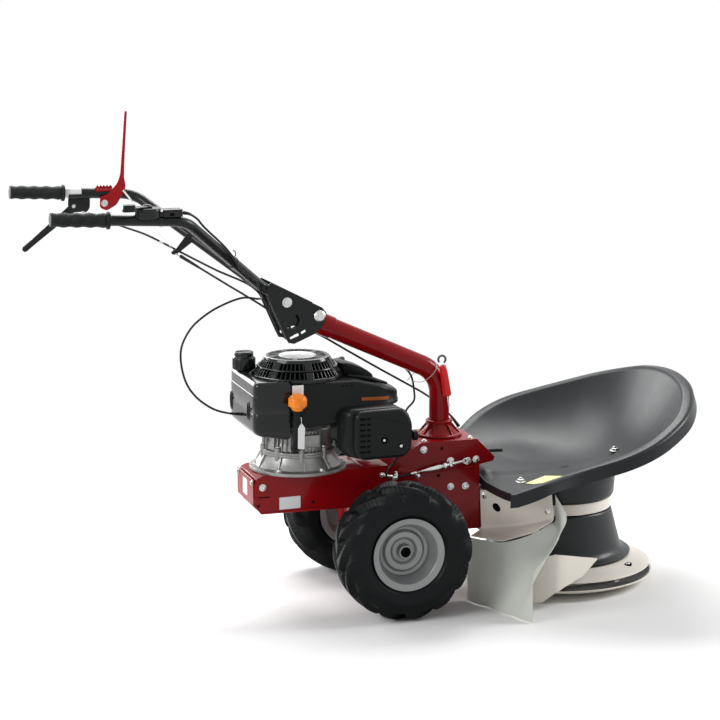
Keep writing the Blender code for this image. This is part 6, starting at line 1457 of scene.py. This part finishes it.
def cable_ends():
    """Tapered boots where the cables meet the controls, the hood and the tank, and the clutch cable's
    stop."""
    for word, count in (("throttle", 3), ("clutch", 3), ("drive", 2)):
        path = smooth_path(CABLES[word][:count], 12)[:6]
        piece(f"{word}_cable_boot", cord_mesh(path, np.linspace(0.0044, 0.003, 6), 20), SHEATH, "handlebar")
    for word in ("throttle", "drive"):
        path = smooth_path(CABLES[word][-3:], 14)[-6:]
        piece(f"{word}_cable_end", cord_mesh(path, np.linspace(0.003, 0.0046, 6), 20), SHEATH, "chassis")
    start, onward = (np.array(corner) for corner in CABLES["clutch"][:2])
    stop = joined(sleeve(0.004, -0.016, 0.001, count=24, soft=0.0006),
                  sleeve(0.0056, -0.008, -0.004, count=6, soft=0.0004))
    piece("clutch_cable_stop", aimed(stop, start, onward - start), STEEL, "handlebar")


# Mower deck

DRUM_AT = (0.488, 0.0, 0.0)
DECK_T, DECK_FLOOR, DECK_REAR = 0.004, 0.285, 0.2565
FRONT_COUNT, REAR_COUNT = 260, 70       # points of the rim's round and of its straight stretch
RIM_LINE = np.array([
    (DECK_REAR, 0.29, 0.298), (0.3, 0.286, 0.312), (0.34, 0.293, 0.325), (0.42, 0.341, 0.363),
    (0.5, 0.362, 0.391), (0.58, 0.344, 0.416), (0.66, 0.296, 0.447), (0.7, 0.257, 0.466),
    (0.74, 0.192, 0.488), (0.765, 0.125, 0.505), (0.777, 0.055, 0.514)])


def rim_ring():
    """The rim as one ring, and which of its points lie on the straight rear edge."""
    tip = np.array([(0.78, 0.0, 0.516)])
    front = smooth_path(np.concatenate([RIM_LINE * (1, -1, 1), tip, RIM_LINE[::-1]]), FRONT_COUNT)
    share = np.linspace(0.0, 1.0, REAR_COUNT + 2)[1:-1]
    rear = np.column_stack([np.full(REAR_COUNT, DECK_REAR), front[0, 1] * (2.0 * share - 1.0),
                            DECK_FLOOR + (front[0, 2] - DECK_FLOOR) * np.abs(1.0 - 2.0 * share) ** 3])
    return np.concatenate([front, rear]), np.arange(FRONT_COUNT + REAR_COUNT) >= FRONT_COUNT


def deck_height(x, y, share, rim_z):
    """A dish that climbs with the cube of the distance from the drum, a spine that fades towards the
    front, and a low swell to the left of it."""
    dish = DECK_FLOOR + (rim_z - DECK_FLOOR) * share ** 3.0
    back = np.clip((0.6 - x) / (0.6 - DECK_REAR), 0.0, 1.0)
    width = 0.075 * (0.25 + 0.75 * back)
    spine = 0.02 * back * np.exp(-((y / width) ** 4)) * (1.0 - 0.4 * rise(share, 0.86, 1.0))
    swell = 0.01 * np.exp(-(((y - 0.15) / 0.06) ** 2)) * back
    return dish + spine + swell * rise(share, 0.15, 0.4) * (1.0 - rise(share, 0.7, 0.98))


def deck():
    """Spokes from the drum axis to the rim, then over a rolled lip and back below at the wall's thickness."""
    rim, is_rear = rim_ring()
    centre = np.array([DRUM_AT[0], 0.0, DECK_FLOOR])
    edge = rim.copy()
    edge[:, 2] = deck_height(rim[:, 0], rim[:, 1], 1.0, rim[:, 2])
    outward = np.roll(rim, -1, axis=0) - np.roll(rim, 1, axis=0)
    outward = np.column_stack([outward[:, 1], -outward[:, 0], np.zeros(len(rim))])
    outward /= np.linalg.norm(outward, axis=1)[:, None]
    outward[is_rear] = (-1.0, 0.0, 0.0)
    forward = (rim[:, 0] - DECK_REAR) / (DRUM_AT[0] - DECK_REAR)
    corner = 1.0 - rise(rim[:, 0], DECK_REAR, DECK_REAR + 0.05)
    out = np.where(is_rear, 0.002, 0.037 * np.minimum(1.0, 0.7 + 0.3 * forward) * (1.0 - 0.45 * corner))
    down = np.where(is_rear, 0.02, 0.032)

    def lip(out_by, lift, down_by):
        """The edge moved out and down by shares of the lip's own reach and drop, and lifted."""
        row = edge + outward * (out * out_by)[:, None]
        row[:, 2] += lift - down * down_by
        return row

    rows, crown = [], 0.0012
    for share in np.concatenate([np.linspace(0.05, 0.86, 26), np.linspace(0.88, 0.985, 9)]):
        row = centre + (rim - centre) * share
        row[:, 2] = deck_height(row[:, 0], row[:, 1], share, rim[:, 2])
        rows.append(row)
    rows += [lip(0.52 * t, crown * math.sin(t * math.pi / 2), 0.0) for t in np.linspace(0.0, 1.0, 5)]
    rows += [lip(0.52 + 0.3 * math.sin(a), crown, 0.3 * (1.0 - math.cos(a)))
             for a in np.linspace(0.25, np.pi / 2, 6)]
    rows += [lip(0.82 + 0.18 * t, crown, 0.3 + 0.7 * t) for t in np.linspace(0.2, 1.0, 5)]
    upper = np.array(rows)
    normal = np.cross(np.gradient(upper, axis=0), np.roll(upper, -1, axis=1) - np.roll(upper, 1, axis=1))
    normal /= np.maximum(np.linalg.norm(normal, axis=2), 1e-12)[:, :, None]
    normal *= np.sign(normal[0, 0, 2])
    under = upper - normal * DECK_T
    under[-1, :, 2] = upper[-1, :, 2] + 0.0004
    dressed("mower_deck", lofted(np.concatenate([upper, under[::-1]]), closed=True), crease=70.0)


def deck_details():
    """Three bolts with their studs, the bare label, a peg at the rear edge and a plug over the drum."""
    stud = turned([(0.0, 0.004), (0.004, 0.004), (0.004, 0.0105), (0.0034, 0.0112), (0.0, 0.0112)], 20,
                  0.0006)
    bolts = []
    for x, y in ((0.34, -0.126), (0.641, -0.0104), (0.34, 0.15)):
        z = float(surface_z(x, y))
        bolts += [bolt((x, y, z - 0.0004), UP, 0.0098, tall=0.55), moved(stud, (x, y, z))]
    piece("deck_bolts", joined(*bolts), STEEL, "chassis")
    x, y = (a[..., None] for a in np.meshgrid(np.linspace(0.0, 1.0, 14), np.linspace(0.0, 1.0, 14),
                                              indexing="ij"))
    a, b, c, d = np.array([(0.343, -0.15), (0.42, -0.086), (0.462, -0.113), (0.385, -0.196)])
    spot = (1 - x) * (1 - y) * a + (1 - x) * y * b + x * y * c + x * (1 - y) * d
    film = np.dstack([spot, surface_z(spot[..., 0], spot[..., 1])])
    piece("bare_deck_label", sheet_between(film + (0, 0, 0.0007), film + (0, 0, 0.0001)), YELLOW, "chassis")
    peg = joined(tube([(0.262, -0.02, 0.346), (0.33, -0.02, 0.344)], 0.0045, 24, UP),
                 aimed(sleeve(0.0065, 0.0, 0.006), (0.258, -0.02, 0.346), AHEAD))
    piece("deck_peg", peg, BLACK, "chassis")
    plug = turned([(0.0, -0.0003), (0.028, -0.0003), (0.028, 0.0002), (0.024, 0.0007), (0.0, 0.0007)], 48)
    piece("deck_plug", moved(plug, (DRUM_AT[0], 0.0, float(surface_z(DRUM_AT[0] + 0.02, 0.0)))), DECK,
          "chassis")


def surface_z(x, y):
    """Height of the deck's top at places inside the rim, by the share of the spoke through each place."""
    x, y = np.asarray(x, float), np.asarray(y, float)
    rim, _ = rim_ring()
    spoke = np.arctan2(y, x - DRUM_AT[0])
    angles = np.arctan2(rim[:, 1], rim[:, 0] - DRUM_AT[0])
    order = np.argsort(angles)
    reach = np.interp(spoke, angles[order], np.hypot(rim[:, 0] - DRUM_AT[0], rim[:, 1])[order],
                      period=2 * np.pi)
    high = np.interp(spoke, angles[order], rim[order, 2], period=2 * np.pi)
    return deck_height(x, y, np.hypot(x - DRUM_AT[0], y) / reach, high)


# Drum, disc, skid and knives

KNIFE_A = math.radians(-49.6)       # where the first knife's pin stands
KNIFE_REACH = 0.2


def drum():
    """The fixed housing, its pale band, and the turning cone, all carried round the drum's axis."""
    under = DECK_FLOOR - DECK_T - 0.0003
    housing = [(0.147, under), (0.1465, 0.262), (0.144, 0.226), (0.14, 0.219), (0.1335, 0.2185),
               (0.1335, 0.23), (0.14, under - 0.004), (0.0135, under - 0.004), (0.0135, under)]
    dressed("drum_housing", moved(turned(housing, 120, 0.0016), DRUM_AT))
    band = [(0.1325, 0.1905), (0.1372, 0.1905), (0.1378, 0.1935), (0.1372, 0.1955), (0.1372, 0.2145),
            (0.1378, 0.2165), (0.1372, 0.2185), (0.1325, 0.2185)]
    piece("drum_band", moved(turned(band, 120, 0.0008), DRUM_AT), CREAM, "chassis", "cream_enamel")
    flare = [(0.1388, 0.1845), (0.1402, 0.179), (0.1442, 0.164), (0.1504, 0.138), (0.156, 0.118),
             (0.1605, 0.101), (0.165, 0.0885), (0.1715, 0.0805), (0.18, 0.0762), (0.1868, 0.075)]
    line = smooth_path([(radius, 0.0, z) for radius, z in flare], 44)[:, [0, 2]]
    cone = np.concatenate([[(0.0128, 0.1855), (0.13, 0.1868), (0.1365, 0.1868)], line,
                           [(0.1882, 0.0738), (0.1876, 0.0712)], line[::-1] - (0.003, 0.0018),
                           [(0.13, 0.1838), (0.0128, 0.1825)]])
    lugs = around(box((0.129, -0.003, 0.182), (0.137, 0.003, 0.1885), 0.001, 0.0006), 12)
    dressed("drum_cone", moved(joined(turned(cone, 144), lugs), DRUM_AT), crease=45.0)


def cutting_disc():
    """The disc below the cone, and the two knives' pins, each in a dark ring with a dark middle."""
    disc = [(0.0128, 0.0665), (0.176, 0.0665), (0.188, 0.066), (0.205, 0.0585), (0.23, 0.05),
            (0.238, 0.0472), (0.2382, 0.0445), (0.2372, 0.0438), (0.205, 0.0545), (0.168, 0.0625),
            (0.0128, 0.0625)]
    dressed("cutting_disc", moved(turned(disc, 144, 0.0008), DRUM_AT))
    pin = turned([(0.0, 0.0615), (0.0098, 0.0613), (0.01, 0.0606), (0.01, 0.056), (0.006, 0.055),
                  (0.006, 0.0339), (0.01, 0.0339), (0.01, 0.03), (0.0, 0.03)], 32, 0.0006)
    ring = turned([(0.0104, 0.056), (0.0134, 0.056), (0.0134, 0.0607), (0.0128, 0.0614), (0.0104, 0.061)], 40,
                  0.0004)
    middle = turned([(0.0, 0.06), (0.003, 0.06), (0.003, 0.0617), (0.0, 0.0617)], 24)
    spots = [(KNIFE_REACH * math.cos(a), KNIFE_REACH * math.sin(a), 0.0)
             for a in (KNIFE_A, KNIFE_A + math.pi)]
    pins = joined(*(moved(pin, spot) for spot in spots))
    wells = joined(*(moved(shape, spot) for spot in spots for shape in (ring, middle)))
    piece("knife_pins", moved(pins, DRUM_AT), STEEL, "drum")
    piece("knife_pin_rings", moved(wells, DRUM_AT), HOLE, "drum")


def skid():
    """The dish that glides on the ground, with its hub, and inside it a dark sheet of painted shade."""
    dish = [(0.0, 0.004), (0.11, 0.004), (0.15, 0.0052), (0.185, 0.01), (0.225, 0.0205), (0.242, 0.0275),
            (0.245, 0.027), (0.245, 0.0243), (0.226, 0.0155), (0.186, 0.0052), (0.15, 0.0002), (0.0, 0.0)]
    hub = turned([(0.014, 0.0035), (0.026, 0.0035), (0.026, 0.052), (0.014, 0.052)], 48, 0.001)
    dressed("skid_dish", moved(joined(turned(dish, 144, 0.001), hub), DRUM_AT))
    # painted shade: a dark sheet in the drum's enamel over the dish's inner face, where the inside of the
    # dish lies in shadow
    inside = [(0.12, 0.0046), (0.15, 0.0057), (0.185, 0.0105), (0.225, 0.021), (0.2385, 0.0264),
              (0.2385, 0.0258), (0.225, 0.0203), (0.185, 0.0098), (0.15, 0.005), (0.12, 0.0038)]
    piece("skid_painted_shade", moved(turned(inside, 144), DRUM_AT), DRUM, "skid")


def knives():
    """Both knives keep their solid form, with eased edges."""
    eased("knife_front", 0.0006)
    eased("knife_rear", 0.0006)


# Skirt, flap and swath plate

PLATE_HALF_T = 0.0013
SKIRT_LINES = {
    "crease": [(0.256, -0.077, 0.158), (0.335, -0.142, 0.176), (0.402, -0.195, 0.198)],
    "edge": [(0.202, -0.148, 0.163), (0.262, -0.208, 0.16), (0.335, -0.226, 0.18)],
}


def facing(grid):
    """Unit normals of a grid of points, from the cross product of its two gradients."""
    normal = np.cross(np.gradient(grid, axis=0), np.gradient(grid, axis=1))
    return normal / np.maximum(np.linalg.norm(normal, axis=2), 1e-12)[:, :, None]


def along_line(points, count):
    """Points at even shares of a two-part line."""
    points = np.asarray(points, float)
    share = np.linspace(0.0, 2.0, count)
    first = np.minimum(share, 1.0)[:, None]
    second = np.maximum(share - 1.0, 0.0)[:, None]
    return points[0] + (points[1] - points[0]) * first + (points[2] - points[1]) * second


def skirt():
    """An upright panel below the deck, a rounded crease and a sloped flange out to the edge."""
    count, set_off = 40, (0.0, 0.0011, 0.0011)
    top_plan = along_line([(0.2525, -0.0745, 0.0), (0.33, -0.139, 0.0), (0.395, -0.189, 0.0)], count)
    height = surface_z(top_plan[:, 0], top_plan[:, 1]) - DECK_T - 0.0052
    height[:6] = np.minimum(height[:6], 0.259)
    top = np.column_stack([top_plan[:, :2], height])
    crease, edge = (along_line(SKIRT_LINES[name], count) for name in ("crease", "edge"))
    up, out = top - crease, edge - crease
    up /= np.linalg.norm(up, axis=1)[:, None]
    out_unit = out / np.linalg.norm(out, axis=1)[:, None]
    rows = [top, top - up * 0.01, crease + up * 0.03, crease + up * 0.01]
    rows += [crease + up * 0.01 * (1 - t) ** 2 + out_unit * 0.01 * t ** 2 for t in (0.25, 0.5, 0.75)]
    rows += [crease + out_unit * 0.01, crease + out * 0.4, crease + out * 0.7, edge - out_unit * 0.004, edge]
    grid = np.stack(rows, axis=1) + set_off
    half = facing(grid) * PLATE_HALF_T
    dressed("skirt_plate", sheet_between(grid + half, grid - half), crease=50.0, bevel=0.0006)

    def on_panel(share, lift):
        """A place just off the panel's outer face, by its share along it and upwards, and the face's
        normal."""
        k = int(share * (count - 1))
        normal = np.cross(top[k] - crease[k], crease[min(k + 1, count - 1)] - crease[k - 1])
        normal /= np.linalg.norm(normal)
        normal *= -1.0 if normal[1] > 0 else 1.0
        return crease[k] + (top[k] - crease[k]) * lift + set_off + normal * 0.0014, normal

    points, faces = turned([(0.0, 0.0), (0.012, 0.0), (0.012, 0.0005), (0.0, 0.0006)], 40)
    piece("skirt_hole", aimed((points * (0.7, 1.0, 1.0), faces), *on_panel(0.22, 0.47)), HOLE, "chassis")
    heads = [bolt(*on_panel(share, lift), 0.006)
             for share, lift in ((0.93, 0.28), (0.93, 0.78), (0.06, 0.86))]
    piece("skirt_bolts", joined(*heads), STEEL, "chassis")


HANGINGS = [        # the flap's hanging lines from the wheel to the drum, each from the skirt to the ground
    [(0.201, -0.1505, 0.1605), (0.193, -0.1505, 0.08), (0.192, -0.15, 0.003)],
    [(0.257, -0.2062, 0.158), (0.238, -0.209, 0.1), (0.222, -0.206, 0.05), (0.212, -0.205, 0.003)],
    [(0.327, -0.2262, 0.1762), (0.306, -0.246, 0.138), (0.268, -0.264, 0.072), (0.238, -0.278, 0.003)],
    [(0.384, -0.198, 0.189), (0.382, -0.238, 0.166), (0.336, -0.297, 0.13), (0.286, -0.322, 0.07),
     (0.256, -0.332, 0.003)],
    [(0.4095, -0.184, 0.197), (0.404, -0.216, 0.179), (0.358, -0.282, 0.152), (0.305, -0.33, 0.118),
     (0.28, -0.346, 0.07), (0.267, -0.358, 0.003)],
    [(0.412, -0.176, 0.258), (0.4411, -0.178, 0.2015), (0.4076, -0.225, 0.1739), (0.3429, -0.31, 0.1488),
     (0.2903, -0.343, 0.115), (0.2803, -0.362, 0.0547), (0.2755, -0.376, 0.003)],
]


def flap():
    """The rubber sheet, lofted through its hanging lines, with soft ripples that grow towards its foot."""
    levels, columns, half_t = 44, 96, 0.0014
    hung = [smooth_path(line, levels) for line in HANGINGS]
    middle = np.stack([smooth_path([line[k] for line in hung], columns) for k in range(levels)], axis=1)
    u = np.linspace(0.0, 1.0, columns)[:, None]
    v = np.linspace(0.0, 1.0, levels)[None]
    wave = 0.0028 * np.sin(2.0 * np.pi * (2.6 * u + 0.35 * v))
    ripple = wave * rise(v, 0.15, 0.9) * rise(1.0 - u, 0.04, 0.25)
    middle = middle + facing(middle) * ripple[:, :, None] * (1.0, 1.0, 0.0)
    half = facing(middle) * half_t
    half[:, -1, 2] = 0.0
    made = dressed("flap", sheet_between(middle + half, middle - half), crease=60.0)


def swath_plate():
    """A curved plate on edge behind the drum, through stations of x, y, foot and head, and the arm that
    holds it."""
    stations = np.array([
        (0.512, -0.208, 0.094, 0.0975), (0.4622, -0.2358, 0.0628, 0.112), (0.43, -0.254, 0.0564, 0.1217),
        (0.4, -0.2705, 0.0505, 0.1307), (0.372, -0.2785, 0.0397, 0.1371), (0.345, -0.2665, 0.016, 0.129),
        (0.318, -0.248, 0.012, 0.085)])
    columns, levels = 60, 9
    marks = np.concatenate([[0.0], np.cumsum(np.hypot(*np.diff(stations[:, :2], axis=0).T))])
    fine = np.linspace(0.0, marks[-1], columns)
    plan = smooth_path(stations[:, :3] * (1.0, 1.0, 0.0), columns)[:, :2]
    low, high = (np.interp(fine, marks, stations[:, k])[:, None] for k in (2, 3))
    z = low + (high - low) * np.linspace(0.0, 1.0, levels)
    grid = np.dstack([np.repeat(plan[:, :1], levels, 1), np.repeat(plan[:, 1:], levels, 1), z])
    half = facing(grid) * (1.0, 1.0, 0.0) * PLATE_HALF_T
    arm = slab([(-0.269, 0.11), (-0.208, 0.15), (-0.193, 0.1795), (-0.197, 0.1795), (-0.211, 0.154),
                (-0.269, 0.115)], 0.342, 0.362, "X", 0.0, 0.0006)
    dressed("swath_plate", joined(sheet_between(grid + half, grid - half), arm), crease=50.0)


def main():
    """The studio first, then every piece from the cables to the mower."""
    for step in (camera, studio, floor, dress_nodes, control_cables, cable_ends, wheels, chassis_plates,
                 chassis_bolts, chassis_lips, chassis_marks, chassis_straps, engine_base, crankcase, cylinder,
                 engine_cowl, cowl_pod, cowl_trim, starter, pull_grip, fuel_tank, tank_holes, fuel_cap,
                 oil_filler, engine_labels, air_filter, filter_details, carburettor, silencer, column_base,
                 column_tube, steering_lock, bars, pivot_bolt, handle_braces, cable_tie, throttle,
                 clutch_controls, lever_mount, red_lever, left_bar_details, tension_rod, cable_clamp,
                 return_spring, deck, deck_details, drum, cutting_disc, skid, knives, skirt, flap,
                 swath_plate):
        step()


main()
